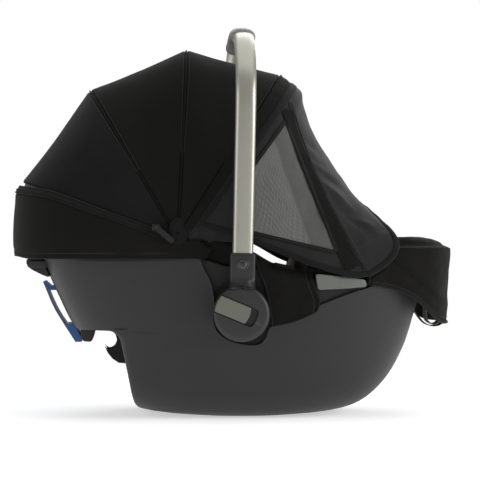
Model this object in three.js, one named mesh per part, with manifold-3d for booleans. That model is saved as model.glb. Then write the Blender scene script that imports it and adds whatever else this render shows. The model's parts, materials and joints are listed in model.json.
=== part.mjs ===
// Infant car seat: a moulded bucket with a swinging carry handle, a folding canopy with a pull-out
// mesh drape, padded seat, five-point harness and the hooks that latch it to its base.
// Millimetres, +Z up, +X towards the child's feet, +Y to the child's left.
// The origin is on the floor, under the middle of the bounding box.
import * as THREE from "three";
import { mergeVertices } from "three/addons/utils/BufferGeometryUtils.js";
import Module from "manifold-3d";

const wasm = await Module();
wasm.setup();

// ---------------------------------------------------------------- driving dimensions
const WALL = 3.5; // moulded shell
const GAP = 0.4; // between touching pieces
const RING_POINTS = 32; // round one horizontal slice of a bucket
const HUB = { x: 3, z: 151, radius: 39, inner: 189.5, outer: 219 }; // carry handle pivot
const HANDLE = { lean: 1.2, width: 29, depth: 17, legY: 207.5, straight: 280, reach: 402.2, grip: 95 };
const SOCKET = { width: 35, depth: 23, top: 84 };
const PIVOT = { x: -85, z: 256 }; // canopy bows turn here
const BOW = { depth: 2.4, width: 8, squareness: 2.6, eye: 9, pin: 4 };
const FABRIC = 1.5;
const CAVITY_TOP = 272;
const FOAM = 20;
const PAD = 14;
const HOOK = { x: -148, z: 107, y: 30, width: 12, shaft: 52 };
const LEVER = { x: -290, z: 219, half: 70, pin: 2.4 }; // base release at the head end

// Horizontal slices of the outer shell: height, rear end, front end, half width, squareness.
const SHELL_SLICES = [
  [0, -60, 84, 88, 2.8],
  [3.5, -108, 131, 108, 2.8],
  [9, -140, 164, 122, 2.8],
  [18, -160, 187, 134, 2.9],
  [34, -180, 208, 149, 3.0],
  [60, -200, 229.5, 163, 3.1],
  [96, -215, 248, 173, 3.2],
  [125, -231, 258, 178, 3.3],
  [146, -243, 264, 181.5, 3.3],
  [196, -266, 281, 187, 3.4],
  [240, -285, 300, 191, 3.4],
  [270, -290, 305, 193, 3.4],
];
// The hollow that the child lies in, before padding: a reclined back and a thigh slope.
const CAVITY_SLICES = [
  [62, 8, 64, 66, 2.6],
  [72, -16, 88, 92, 2.6],
  [88, -46, 112, 106, 2.7],
  [112, -84, 142, 118, 2.8],
  [140, -125, 172, 128, 2.9],
  [175, -172, 205, 136, 3.0],
  [210, -216, 236, 141, 3.1],
  [250, -262, 266, 143, 3.2],
  [CAVITY_TOP, -278, 278, 144, 3.2],
];
// The fabric boot over the foot end, with a crowned top.
const BOOT_SLICES = [
  [118, -20, 307, 150, 3.2],
  [137, -20, 313, 158, 3.2],
  [180, -20, 315, 166, 3.2],
  [236, -20, 319, 174, 3.2],
  [243, -20, 317, 169, 3.1],
  [247, -20, 308, 150, 3.0],
  [253, -10, 295, 118, 2.8],
  [257, 30, 278, 74, 2.6],
  [258.4, 70, 262, 30, 2.4],
];
// The upper edge of the moulded shell, seen from the side.
const RIM = [
  [-330, 226], [-50, 226], [-14, 214], [24, 214], [60, 205], [110, 197], [180, 192],
  [205, 205], [235, 222], [330, 226],
];
// The top of the padding: bolsters beside the child's body, low at the canopy's pivots.
const PAD_TOP = [
  [-330, 237], [-80, 240], [-68, 256], [-50, 262], [-30, 260], [-12, 253], [10, 242], [24, 233],
  [32, 226], [43, 220.5], [60, 216], [80, 213], [110, 208], [180, 205], [205, 217], [235, 234], [330, 237],
];
// The set-back panel round each handle pivot, seen from the side.
const RECESS = [
  [-56, 232], [-38, 195], [-33, 167], [-36, 140], [-27, 122], [-5, 110], [18, 105],
  [35, 108], [46, 132], [118, 162], [170, 182], [196, 190], [196, 232],
];

// ---------------------------------------------------------------- geometry helpers
const vec = (x, y, z) => new THREE.Vector3(x, y, z);
const radians = THREE.MathUtils.degToRad;
const mix = THREE.MathUtils.lerp;
const smooth = (x, from, to) => THREE.MathUtils.smoothstep(x, from, to);
const steps = (n) => Array.from({ length: n }, (_, i) => i / n);
const stepsTo1 = (n) => Array.from({ length: n + 1 }, (_, i) => i / n);

// A closed triangle mesh whose faces are turned outwards if they point in.
function closed(points, triangles) {
  let volume = 0;
  for (const [a, b, c] of triangles) volume += points[a].dot(points[b].clone().cross(points[c]));
  const index = triangles.flatMap(([a, b, c]) => (volume < 0 ? [a, c, b] : [a, b, c]));
  const g = new THREE.BufferGeometry().setFromPoints(points);
  return g.setIndex(index);
}

// Rings of equal length joined into one body, with a fan over each end.
function loft(rings) {
  const n = rings[0].length;
  const points = rings.flat();
  const triangles = [];
  for (let i = 0; i + 1 < rings.length; i++) {
    for (let j = 0; j < n; j++) {
      const a = i * n + j;
      const b = i * n + ((j + 1) % n);
      triangles.push([a, b, b + n], [a, b + n, a + n]);
    }
  }
  for (const [first, flip] of [[0, true], [(rings.length - 1) * n, false]]) {
    const middle = points.length;
    const sum = vec(0, 0, 0);
    for (let j = 0; j < n; j++) sum.add(points[first + j]);
    points.push(sum.divideScalar(n));
    for (let j = 0; j < n; j++) {
      const a = first + j;
      const b = first + ((j + 1) % n);
      triangles.push(flip ? [middle, b, a] : [middle, a, b]);
    }
  }
  return closed(points, triangles);
}

// A grid of points made into a sheet, thickened towards its inner side.
function sheet(grid, thickness, inner) {
  const rows = grid.length;
  const n = grid[0].length;
  const at = (i, j) => grid[THREE.MathUtils.clamp(i, 0, rows - 1)][THREE.MathUtils.clamp(j, 0, n - 1)];
  const backs = grid.map((row, i) => row.map((p, j) => {
    const normal = at(i + 1, j).clone().sub(at(i - 1, j)).cross(at(i, j + 1).clone().sub(at(i, j - 1)));
    if (normal.lengthSq() < 1e-12) return p.clone();
    normal.normalize();
    const inward = normal.dot(inner.clone().sub(p)) < 0 ? -1 : 1;
    return p.clone().addScaledVector(normal, inward * thickness);
  }));
  const points = [...grid.flat(), ...backs.flat()];
  const back = rows * n;
  const triangles = [];
  const quad = (a, b, c, d) => triangles.push([a, b, c], [a, c, d]);
  for (let i = 0; i + 1 < rows; i++) {
    for (let j = 0; j + 1 < n; j++) {
      const a = i * n + j;
      quad(a, a + 1, a + n + 1, a + n);
      quad(back + a, back + a + n, back + a + n + 1, back + a + 1);
    }
  }
  for (let j = 0; j + 1 < n; j++) {
    const last = (rows - 1) * n + j;
    quad(j + 1, j, back + j, back + j + 1);
    quad(last, last + 1, back + last + 1, back + last);
  }
  for (let i = 0; i + 1 < rows; i++) {
    const a = i * n;
    const b = a + n - 1;
    quad(a, a + n, back + a + n, back + a);
    quad(b + n, b, back + b, back + b + n);
  }
  return closed(points, triangles);
}

function solid(geometry) {
  const g = geometry.index ? geometry.toNonIndexed() : geometry.clone();
  g.deleteAttribute("normal");
  g.deleteAttribute("uv");
  const merged = mergeVertices(g, 1e-3);
  return new wasm.Manifold(new wasm.Mesh({
    numProp: 3,
    vertProperties: merged.attributes.position.array,
    triVerts: new Uint32Array(merged.index.array),
  }));
}

function geometryOf(made) {
  const m = made.getMesh();
  const g = new THREE.BufferGeometry();
  g.setAttribute("position", new THREE.BufferAttribute(m.vertProperties, 3));
  g.setIndex(new THREE.BufferAttribute(m.triVerts, 1));
  g.computeVertexNormals();
  return g;
}

// An outline in the side view (x, z), run across the seat from one y to another.
function across(outline, y0, y1) {
  const shape = outline instanceof THREE.Shape
    ? outline
    : new THREE.Shape(outline.map(([x, z]) => new THREE.Vector2(x, z)));
  const g = new THREE.ExtrudeGeometry(shape, { depth: y1 - y0, bevelEnabled: false, curveSegments: 8 });
  g.rotateX(Math.PI / 2);
  return g.translate(0, y1, 0);
}

function box(x0, x1, y0, y1, z0, z1) {
  const g = new THREE.BoxGeometry(x1 - x0, y1 - y0, z1 - z0);
  return g.translate((x0 + x1) / 2, (y0 + y1) / 2, (z0 + z1) / 2);
}

// A round bar along Y.
function bar(x, z, radius, y0, y1, sides = 20) {
  const g = new THREE.CylinderGeometry(radius, radius, Math.abs(y1 - y0), sides);
  return g.translate(x, (y0 + y1) / 2, z);
}

// A closed outline through a few points, rounded.
function roundedOutline(points, samples) {
  const curve = new THREE.CatmullRomCurve3(points.map(([x, z]) => vec(x, 0, z)), true, "centripetal");
  return curve.getSpacedPoints(samples).slice(0, samples).map((p) => [p.x, p.z]);
}

// The side view's outline of a rectangle with round corners, turned about its centre.
function roundedRectangle(width, height, radius) {
  const w = width / 2 - radius;
  const h = height / 2 - radius;
  const s = new THREE.Shape();
  s.absarc(w, h, radius, 0, Math.PI / 2);
  s.absarc(-w, h, radius, Math.PI / 2, Math.PI);
  s.absarc(-w, -h, radius, Math.PI, 1.5 * Math.PI);
  s.absarc(w, -h, radius, 1.5 * Math.PI, 2 * Math.PI);
  s.closePath();
  return s;
}

const mirrored = (made, side) => (side > 0 ? made : made.mirror([0, 1, 0]));

// ---------------------------------------------------------------- materials
function finish(color, roughness, metalness = 0) {
  return new THREE.MeshStandardMaterial({ color, roughness, metalness });
}

const MATERIALS = {
  shell: finish(0x3a393a, 0.55),
  foam: finish(0x1c1c1d, 0.9),
  blackFabric: finish(0x161515, 0.95),
  greyFabric: finish(0x2b2c2d, 0.9),
  mesh: finish(0x4a4a48, 0.9),
  aluminium: finish(0xb9b7ab, 0.32, 0.9),
  leather: finish(0x6e6a66, 0.55),
  trim: finish(0x3e3c3e, 0.45),
  button: finish(0x7b7e76, 0.4, 0.3),
  badge: finish(0x8c8e8a, 0.35, 0.5),
  blue: finish(0x1f4f94, 0.4),
  steel: finish(0x8a8b8c, 0.3, 1),
  hook: finish(0x0b0b0b, 0.6),
  webbing: finish(0x7d7069, 0.85),
  red: finish(0xb3221c, 0.45),
};
const seat = new THREE.Group();

function add(name, made, material, parent = seat) {
  const geometry = made.isBufferGeometry ? made : geometryOf(made);
  const mesh = new THREE.Mesh(geometry, MATERIALS[material]);
  mesh.name = name;
  parent.add(mesh);
  return mesh;
}

// ---------------------------------------------------------------- bucket shapes
// The plan narrows towards the feet and a little towards the head.
const taper = (x) => 1 - 0.12 * smooth(x, 20, 300) - 0.06 * smooth(-x, 60, 290);

function bucket(slices, inset = 0) {
  const top = slices.at(-1)[0];
  const bottom = slices[0][0];
  return solid(loft(slices.map(([z, rear, front, half, squareness]) => {
    const middle = (rear + front) / 2;
    const reach = (front - rear) / 2 - inset;
    const level = top - ((top - z) * (top - bottom - inset)) / (top - bottom);
    return steps(RING_POINTS).map((t) => {
      const c = Math.cos(2 * Math.PI * t);
      const s = Math.sin(2 * Math.PI * t);
      const x = middle + reach * Math.sign(c) * Math.abs(c) ** (2 / squareness);
      const y = (half - inset) * Math.sign(s) * Math.abs(s) ** (2 / squareness);
      return vec(x, y * taper(x), level);
    });
  })));
}

// Everything above a line of the side view, raised by so much.
function above(profile, raise = 0) {
  const line = profile.map(([x, z]) => [x, z + raise]);
  return solid(across([...line, [340, 400], [-340, 400]], -260, 260));
}

// The step at the rear that the base's bar sits in, cut this much wider.
function rearStep(grow) {
  const outline = [
    [-330, 125 + grow], [-180 + grow, 125 + grow], [-169 + grow, 121 + grow], [-163.5 + grow, 110],
    [-157 + grow, 76], [-148.8 + grow, 32], [-145 + grow, 19], [-138 + grow, 8], [-124 + grow, -9],
    [-330, -9],
  ];
  return solid(across(outline, -260, 260));
}

// ---------------------------------------------------------------- shell and what is fixed in it
function makeShell() {
  const recess = (side) => mirrored(solid(across(RECESS, 100, 260)), side);
  const hookSlot = (side) => {
    const y = side * HOOK.y;
    const half = HOOK.width / 2 + 1.5;
    return solid(box(-185, -140, y - half, y + half, 66, 140));
  };
  const hollow = bucket(SHELL_SLICES, WALL).subtract(rearStep(WALL));
  let shell = bucket(SHELL_SLICES).subtract(rearStep(0)).subtract(hollow).subtract(above(RIM));
  for (const side of [-1, 1]) shell = shell.subtract(recess(side)).subtract(hookSlot(side));
  const lug = solid(across([[-220.8, 127], [-220, 106.5], [-206, 105.5], [-200, 127]], -60, 60));
  shell = shell.add(lug);
  for (const side of [-1, 1]) {
    const bracket = solid(box(-162, -139, HOOK.y + 11, HOOK.y + 17, 97, 122.5));
    shell = shell.add(mirrored(bracket, side));
  }
  for (const side of [-1, 1]) {
    const ear = box(LEVER.x - 5, LEVER.x + 20, LEVER.half + 0.8, LEVER.half + 6.8, LEVER.z - 6, LEVER.z + 5);
    shell = shell.add(mirrored(solid(ear).subtract(bucket(SHELL_SLICES, WALL / 2)), side));
  }
  const hinge = LEVER.half + 7;
  shell = shell.subtract(solid(bar(LEVER.x, LEVER.z, LEVER.pin + GAP, -hinge, hinge, 12)));
  return shell.subtract(solid(bar(HOOK.x, HOOK.z, 4 + GAP, -HOOK.shaft, HOOK.shaft)));
}

function makeHandleMount(side) {
  const outer = bucket(SHELL_SLICES, WALL + GAP);
  const inner = bucket(SHELL_SLICES, 2 * WALL + GAP);
  const grown = RECESS.map(([x, z]) => [x + Math.sign(x - 60) * 5, z - 5]);
  const boss = { radius: 35, from: 172, to: HUB.inner - 0.9 };
  const plate = outer.subtract(inner).subtract(above(RIM)).intersect(solid(across(grown, 100, 260)));
  const teeth = 8;
  const ring = new THREE.Shape(steps(teeth * 4).map((t, i) => {
    const radius = i % 4 < 2 ? 30 : 25;
    const a = 2 * Math.PI * t;
    return new THREE.Vector2(HUB.x + radius * Math.cos(a), HUB.z + radius * Math.sin(a));
  }));
  let mount = plate.add(solid(bar(HUB.x, HUB.z, boss.radius, boss.from, boss.to + 0.2, 24)));
  mount = mount.add(solid(across(ring, boss.to, boss.to + 8)));
  return mirrored(mount.subtract(solid(bar(HUB.x, HUB.z, 6.3, 150, 230))), side);
}

function makePivotPin(side) {
  const head = solid(bar(HUB.x, HUB.z, 11, 162, 167));
  return mirrored(head.add(solid(bar(HUB.x, HUB.z, 6, 166, 208))), side);
}

function makeShoulderBeltGuide() {
  const outline = [
    [-277.6, 192.6], [-272.3, 180], [-266.3, 165], [-259.5, 151], [-253.1, 140.5], [-246.3, 129.5],
    [-230.5, 105], [-221.5, 105], [-221.5, 124], [-230, 131], [-244.4, 131], [-251.2, 140.5],
    [-257.6, 151.5], [-264.4, 165.5], [-270.3, 180.3], [-257, 180.3], [-257, 184.5], [-268, 186.6],
    [-275.8, 193.4],
  ];
  const body = solid(across(outline, -45, 45));
  return body.subtract(bucket(SHELL_SLICES, -GAP));
}

function makeBeltGuide(side) {
  const outline = [[107, 206], [130, 204], [180, 197], [182, 187], [150, 184.5], [111, 183]];
  const outer = bucket(SHELL_SLICES, -6.5);
  const inner = bucket(SHELL_SLICES, -1);
  const plate = outer.subtract(inner).intersect(solid(across(outline, 100, 260)));
  return mirrored(plate, side);
}

function makeRimFlap(side) {
  const outline = roundedOutline([
    [46, 137], [80, 143], [112, 153], [115, 170], [104, 181], [102, 198], [60, 208], [45, 209],
    [43, 175],
  ], 20);
  const cloth = bucket(SHELL_SLICES, -3).subtract(bucket(SHELL_SLICES, -GAP));
  return mirrored(cloth.intersect(solid(across(outline, 100, 260))), side);
}

function makeFootCover() {
  const outline = [
    [186, 189.5], [205, 187], [222, 184], [243, 175.5], [264, 162.5], [277, 151], [290, 139.5],
    [300, 134], [330, 135], [330, 270],
    [193, 270], [193, 230.5],
  ];
  const thickness = 3;
  const skin = (inset) => bucket(SHELL_SLICES, inset).subtract(above(RIM, 7));
  const outer = bucket(BOOT_SLICES).add(skin(-GAP - thickness));
  const inner = bucket(BOOT_SLICES, thickness).translate([0, 0, -thickness]).add(skin(-GAP));
  const opening = bucket(CAVITY_SLICES, 6).add(solid(box(100, 248, -100, 100, 235, 300)));
  return outer.subtract(inner).subtract(opening).intersect(solid(across(outline, -260, 260)));
}

// ---------------------------------------------------------------- padding
function makeFoam() {
  const grown = bucket(CAVITY_SLICES, -FOAM);
  return grown.subtract(bucket(CAVITY_SLICES)).subtract(above(RIM, -GAP));
}

function makeSeatPad() {
  const hollow = bucket(CAVITY_SLICES, PAD);
  const lining = bucket(CAVITY_SLICES, GAP).subtract(above(PAD_TOP));
  const roll = bucket(SHELL_SLICES, 10).subtract(above(PAD_TOP));
  const below = solid(box(-400, 400, -300, 300, -50, 400)).subtract(above(RIM, GAP));
  let pad = roll.subtract(below).add(lining).subtract(hollow);
  for (const side of [-1, 1]) {
    const post = box(PIVOT.x - 18, PIVOT.x + 18, 160, 200, 200, 260);
    pad = pad.subtract(mirrored(solid(post), side));
  }
  return pad;
}

// The level at which the padded hollow first takes in a point of the plan.
function seatHeight(x, y) {
  const top = CAVITY_TOP;
  const bottom = CAVITY_SLICES[0][0];
  for (let step = 0; step <= 400; step++) {
    const at = (step / 400) * (CAVITY_SLICES.length - 1.001);
    const lower = CAVITY_SLICES[Math.floor(at)];
    const upper = CAVITY_SLICES[Math.floor(at) + 1];
    const [z, rear, front, half, n] = lower.map((value, i) => mix(value, upper[i], at % 1));
    const u = Math.abs((x - (rear + front) / 2) / ((front - rear) / 2 - PAD));
    const v = Math.abs(y / ((half - PAD) * taper(x)));
    if (u ** n + v ** n < 1) return top - ((top - z) * (top - bottom - PAD)) / (top - bottom);
  }
  return top;
}

// The harness webbing: places where it lies on the seat (x, y, height above it), then, over the lap
// and up on to the boot, its outer and inner edges.
const STRAP = { width: 36, thickness: 1.6 };
const SHOULDER_LINE = [[-148, 30, 3], [-110, 35, 3], [-60, 48, 3], [-10, 66, 3], [36, 84, 4]];
const LAP_EDGES = [
  [[70, 108, 168], [76, 78, 162]], [[96, 113, 210], [88, 80, 222]], [[130, 111, 226], [124, 77, 236]],
  [[160, 105, 237], [154, 71, 243]], [[182, 100, 243], [178, 67, 246]],
];
const CROTCH_LINE = [[52, 0, 3], [72, 0, 4], [92, 0, 7]];

// The two edges of webbing that lies on the seat.
function lyingEdges(line, width, raise = 0) {
  return line.map(([x, y, rise]) => [0.5, -0.5].map((w) => {
    const side = y + w * width;
    return [x, side, seatHeight(x, side) + rise + raise];
  }));
}

// A band between two edges.
function band(edges, thickness, count) {
  const [outer, inner] = [0, 1].map((i) => (
    new THREE.CatmullRomCurve3(edges.map((pair) => vec(...pair[i])), false, "centripetal")
  ));
  const grid = stepsTo1(count).map((t) => {
    const [a, b] = [outer.getPoint(t), inner.getPoint(t)];
    return [a, a.clone().lerp(b, 0.5), b];
  });
  return solid(sheet(grid, thickness, vec(0, 0, 2000)));
}

// A block with rounded corners that lies on the seat's slope at a place of the plan.
function lyingBlock(x, y, length, width, z0, z1, radius = 5) {
  const shape = roundedRectangle(length, width, radius);
  const g = new THREE.ExtrudeGeometry(shape, { depth: z1 - z0, bevelEnabled: false, curveSegments: 3 });
  g.translate(0, 0, z0);
  const slope = Math.atan2(seatHeight(x + 20, y) - seatHeight(x - 20, y), 40);
  g.rotateY(-slope);
  return solid(g.translate(x, y, seatHeight(x, y)));
}

function makeHarness() {
  const strap = [...lyingEdges(SHOULDER_LINE, STRAP.width), ...LAP_EDGES];
  const shoulder = lyingEdges(SHOULDER_LINE.slice(0, 4), STRAP.width + 12, STRAP.thickness + 2.4);
  for (const side of [-1, 1]) {
    const word = side < 0 ? "right" : "left";
    add("harness_strap_" + word, mirrored(band(strap, STRAP.thickness, 24), side), "webbing");
    add("shoulder_pad_" + word, mirrored(band(shoulder, 7, 8), side), "greyFabric");
    const tongue = new THREE.ExtrudeGeometry(
      roundedRectangle(40, 26, 5), { depth: 3, bevelEnabled: false, curveSegments: 3 },
    );
    add("buckle_tongue_" + word, mirrored(solid(tongue.translate(204, 82, 247)), side), "steel");
  }
  const crotch = lyingEdges(CROTCH_LINE, STRAP.width);
  add("crotch_strap", band(crotch, STRAP.thickness, 4), "webbing");
  const slot = lyingBlock(118, 0, 22.8, 24.8, 12, 30, 3);
  add("buckle_body", lyingBlock(118, 0, 50, 46, 5, 21, 8).subtract(slot), "shell");
  add("buckle_button", lyingBlock(118, 0, 22, 24, 16, 22.5, 3), "red");
  const well = lyingBlock(176, 0, 20.8, 24.8, 4, 20, 3);
  add("adjuster_housing", lyingBlock(176, 0, 34, 40, 1.5, 9, 5).subtract(well), "shell");
  add("adjuster_button", lyingBlock(176, 0, 20, 24, 7, 11, 3), "trim");
}

function makeHeadSupport() {
  const around = bucket(CAVITY_SLICES, PAD + GAP);
  const hollow = bucket(CAVITY_SLICES, PAD + 26);
  const outline = [[-262, 236], [-262, 150], [-152, 150], [-152, 176], [-168, 236]];
  const wedge = solid(across(outline, -150, 150));
  return around.subtract(hollow.translate([0, 0, 3])).intersect(wedge).subtract(above(RIM, 6));
}

// ---------------------------------------------------------------- carry handle
// The handle's own plane: y across the seat and r away from the pivot.
function handlePath(fromR, grip) {
  const rise = HANDLE.reach - HANDLE.straight;
  const squareness = 2.25;
  const arch = stepsTo1(18).map((t) => {
    const a = Math.PI * t;
    const c = Math.cos(a);
    return vec(
      -HANDLE.legY * Math.sign(c) * Math.abs(c) ** (2 / squareness),
      HANDLE.straight + rise * Math.sin(a) ** (2 / squareness), 0,
    );
  });
  const legs = steps(4).map((t) => mix(fromR, HANDLE.straight, t));
  const all = [
    ...legs.map((r) => vec(-HANDLE.legY, r, 0)), ...arch,
    ...legs.toReversed().map((r) => vec(HANDLE.legY, r, 0)),
  ];
  return new THREE.CatmullRomCurve3(grip ? all.filter((p) => Math.abs(p.x) < HANDLE.grip) : all);
}

// An oval section, wide in the plan's x and thin along the radius.
function oval(width, depth, sides) {
  return new THREE.Path(steps(sides).map((t) => {
    const a = 2 * Math.PI * t;
    const c = Math.cos(a);
    const s = Math.sin(a);
    const p = 2 / 2.6;
    return new THREE.Vector2(
      (width / 2) * Math.sign(c) * Math.abs(c) ** p, (depth / 2) * Math.sign(s) * Math.abs(s) ** p,
    );
  }));
}

// From the handle's plane (y, r) to the seat's frame, upright over the pivot.
const HANDLE_FRAME = new THREE.Matrix4().makeBasis(vec(0, 1, 0), vec(0, 0, 1), vec(1, 0, 0));

function sweep(section, path, count, hole) {
  const shape = new THREE.Shape(section.getPoints());
  if (hole) shape.holes.push(new THREE.Path(hole.getPoints()));
  const g = new THREE.ExtrudeGeometry(shape, { steps: count, bevelEnabled: false, extrudePath: path });
  return g.applyMatrix4(HANDLE_FRAME);
}

// The hub's button slot runs down towards the feet.
const SLOT = { turn: 22.5, low: -11.6, high: 13.2, end: 9, pocketEnd: 21.5, stem: -22, floor: 212 };

function turned(outline) {
  const c = Math.cos(radians(-SLOT.turn));
  const s = Math.sin(radians(-SLOT.turn));
  return outline.map(([u, v]) => [HUB.x + u * c - v * s, HUB.z + u * s + v * c]);
}

function buttonOutline(shrink) {
  const radius = HUB.radius - 0.8 - shrink;
  const low = SLOT.low + shrink;
  const high = SLOT.high - shrink;
  const edge = stepsTo1(6).map((t) => {
    const v = mix(low, high, t);
    return [-Math.sqrt(radius * radius - v * v), v];
  });
  const end = stepsTo1(4).map((t) => {
    const v = mix(high, low, t);
    return [SLOT.end - shrink + 2.4 * (1 - ((2 * v - low - high) / (high - low)) ** 2), v];
  });
  return turned([...edge, ...end]);
}

function makeHubCover(side) {
  const pocket = turned([
    [-HUB.radius - 3, SLOT.low - 1], [SLOT.pocketEnd - 3, SLOT.low - 1], [SLOT.pocketEnd, SLOT.low + 3],
    [SLOT.pocketEnd + 1, SLOT.high - 3], [SLOT.pocketEnd - 2, SLOT.high + 1.6],
    [-HUB.radius - 3, SLOT.high + 1],
  ]);
  const [[stemX, stemZ]] = turned([[SLOT.stem, 0.8]]);
  const profile = [
    [0, 0], [HUB.radius - 1, 0], [HUB.radius, 1], [HUB.radius, 25], [HUB.radius - 2.5, 28.4],
    [HUB.radius - 6, HUB.outer - HUB.inner], [0, HUB.outer - HUB.inner],
  ].map(([r, h]) => new THREE.Vector2(r, h));
  const disc = new THREE.LatheGeometry(profile, 28).translate(0, HUB.inner, 0);
  disc.translate(HUB.x, 0, HUB.z);
  let cover = solid(disc);
  cover = cover.subtract(solid(bar(HUB.x, HUB.z, 33, 180, 204, 20)));
  cover = cover.subtract(solid(bar(HUB.x, HUB.z, 6.2, 200, 209)));
  cover = cover.subtract(solid(across(pocket, SLOT.floor, 230)));
  cover = cover.subtract(solid(bar(stemX, stemZ, 8.6, 206, 214)));
  cover = cover.subtract(solid(bar(stemX, stemZ, 5.3, 200, 214)));
  return mirrored(cover, side);
}

function makeHandleButton(side) {
  const [[stemX, stemZ]] = turned([[SLOT.stem, 0.8]]);
  const cap = solid(across(buttonOutline(0.4), 216, 220));
  return mirrored(cap.add(solid(bar(stemX, stemZ, 5, 200.6, 217))), side);
}

class Helix extends THREE.Curve {
  getPoint(t) {
    const a = 2 * Math.PI * 3.5 * t;
    return vec(6.8 * Math.cos(a), 6.8 * Math.sin(a), 7 * t);
  }
}

function makeButtonSpring(side) {
  const [[stemX, stemZ]] = turned([[SLOT.stem, 0.8]]);
  const wire = new THREE.Shape(steps(4).map((t) => {
    const a = 2 * Math.PI * t;
    return new THREE.Vector2(0.8 * Math.cos(a), 0.8 * Math.sin(a));
  }));
  const g = new THREE.ExtrudeGeometry(wire, { steps: 30, bevelEnabled: false, extrudePath: new Helix() });
  g.rotateX(-Math.PI / 2);
  g.translate(stemX, 207.4, stemZ);
  return mirrored(solid(g), side);
}

function makeSocket(side) {
  const hole = oval(HANDLE.width + 2 * GAP, HANDLE.depth + 2 * GAP, 10).getPoints();
  const section = roundedRectangle(SOCKET.width, SOCKET.depth, 5);
  section.holes.push(new THREE.Path(hole));
  const depth = SOCKET.top - 30;
  const g = new THREE.ExtrudeGeometry(section, { depth, bevelEnabled: false, curveSegments: 4 });
  g.translate(HUB.x, HANDLE.legY, HUB.z + 30);
  const rivet = bar(HUB.x, HUB.z + 67, 9.4, 217.6, 230);
  const made = solid(g).subtract(solid(bar(HUB.x, HUB.z, HUB.radius + GAP, 180, 230, 28)));
  return mirrored(made.subtract(solid(rivet)), side);
}

function makeHandleScrew(side) {
  const profile = [[0, 0], [9, 0], [9, 1], [6.5, 1.6], [5.2, 0.9], [4.2, 2.2], [0, 2.8]];
  const g = new THREE.LatheGeometry(profile.map(([r, h]) => new THREE.Vector2(r, h)), 20);
  g.translate(HUB.x, 218, HUB.z + 67);
  return mirrored(solid(g), side);
}

function makeHandle() {
  const swing = new THREE.Group(); // leans a little towards the feet
  swing.position.set(HUB.x, 0, HUB.z);
  swing.rotation.y = radians(HANDLE.lean);
  const upright = new THREE.Group();
  upright.position.set(-HUB.x, 0, -HUB.z);
  swing.add(upright);
  seat.add(swing);
  const tube = sweep(oval(HANDLE.width, HANDLE.depth, 10), handlePath(HUB.radius + 3, false), 34);
  tube.translate(HUB.x, 0, HUB.z);
  add("handle_tube", solid(tube), "aluminium", upright);
  const sleeve = sweep(
    oval(HANDLE.width + 3.6, HANDLE.depth + 3.6, 10), handlePath(HUB.radius + 3, true), 12,
    oval(HANDLE.width + 2 * GAP, HANDLE.depth + 2 * GAP, 10),
  );
  sleeve.translate(HUB.x, 0, HUB.z);
  add("handle_grip", solid(sleeve), "leather", upright);
  for (const [side, word] of [[-1, "right"], [1, "left"]]) {
    add("handle_socket_" + word, makeSocket(side), "trim", upright);
    add("handle_screw_" + word, makeHandleScrew(side), "steel", upright);
    add("hub_cover_" + word, makeHubCover(side), "trim", upright);
    add("handle_button_" + word, makeHandleButton(side), "button", upright);
    add("button_spring_" + word, makeButtonSpring(side), "steel", upright);
  }
}

// ---------------------------------------------------------------- canopy
// Bows from the rear to the front: angle above the feet direction, height of the arch, half width.
const BOWS = {
  rear: { angle: 160.3, reach: 232.5, half: 173.2 },
  middle: { angle: 120.2, reach: 243.5, half: 176 },
  top: { angle: 86.7, reach: 270, half: 178.8 },
  front: { angle: 57, reach: 278.5, half: 181.6 },
};

// A point of an arch that starts and ends on the pivot axis; t runs from the right to the left.
function archPoint(bow, t, grow = 0) {
  const a = Math.PI * t;
  const c = Math.cos(a);
  const p = 2 / BOW.squareness;
  const r = (bow.reach + grow) * Math.sin(a) ** p;
  const y = -(bow.half + grow) * Math.sign(c) * Math.abs(c) ** p;
  return vec(PIVOT.x + r * Math.cos(radians(bow.angle)), y, PIVOT.z + r * Math.sin(radians(bow.angle)));
}

function makeBow(bow) {
  const path = new THREE.CatmullRomCurve3(stepsTo1(20).map((t) => {
    const a = Math.PI * t;
    const c = Math.cos(a);
    const p = 2 / BOW.squareness;
    return vec(-bow.half * Math.sign(c) * Math.abs(c) ** p, bow.reach * Math.sin(a) ** p, 0);
  }));
  const section = new THREE.Shape([
    [-BOW.width / 2, -BOW.depth / 2], [BOW.width / 2, -BOW.depth / 2],
    [BOW.width / 2, BOW.depth / 2], [-BOW.width / 2, BOW.depth / 2],
  ].map(([x, y]) => new THREE.Vector2(x, y)));
  const strip = new THREE.ExtrudeGeometry(section, { steps: 20, bevelEnabled: false, extrudePath: path });
  const along = vec(Math.cos(radians(bow.angle)), 0, Math.sin(radians(bow.angle)));
  const frame = new THREE.Matrix4().makeBasis(vec(0, 1, 0), along, vec(0, 1, 0).cross(along));
  strip.applyMatrix4(frame).translate(PIVOT.x, 0, PIVOT.z);
  let made = solid(strip);
  for (const side of [-1, 1]) {
    const y = side * bow.half;
    const half = BOW.depth / 2;
    made = made.add(solid(bar(PIVOT.x, PIVOT.z, BOW.eye, y - half, y + half, 14)));
    made = made.subtract(solid(bar(PIVOT.x, PIVOT.z, BOW.pin + GAP, y - 9, y + 9, 12)));
  }
  return made;
}

function makeCanopyMount(side) {
  const plate = solid(box(PIVOT.x - 14, PIVOT.x + 14, 165, 171.4, 204, PIVOT.z + 10));
  const pin = solid(bar(PIVOT.x, PIVOT.z, BOW.pin, 171, 183.2, 12));
  const washer = solid(bar(PIVOT.x, PIVOT.z, 7, 183.1, 184.1, 14));
  return mirrored(plate.add(pin).add(washer), side);
}

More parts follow.
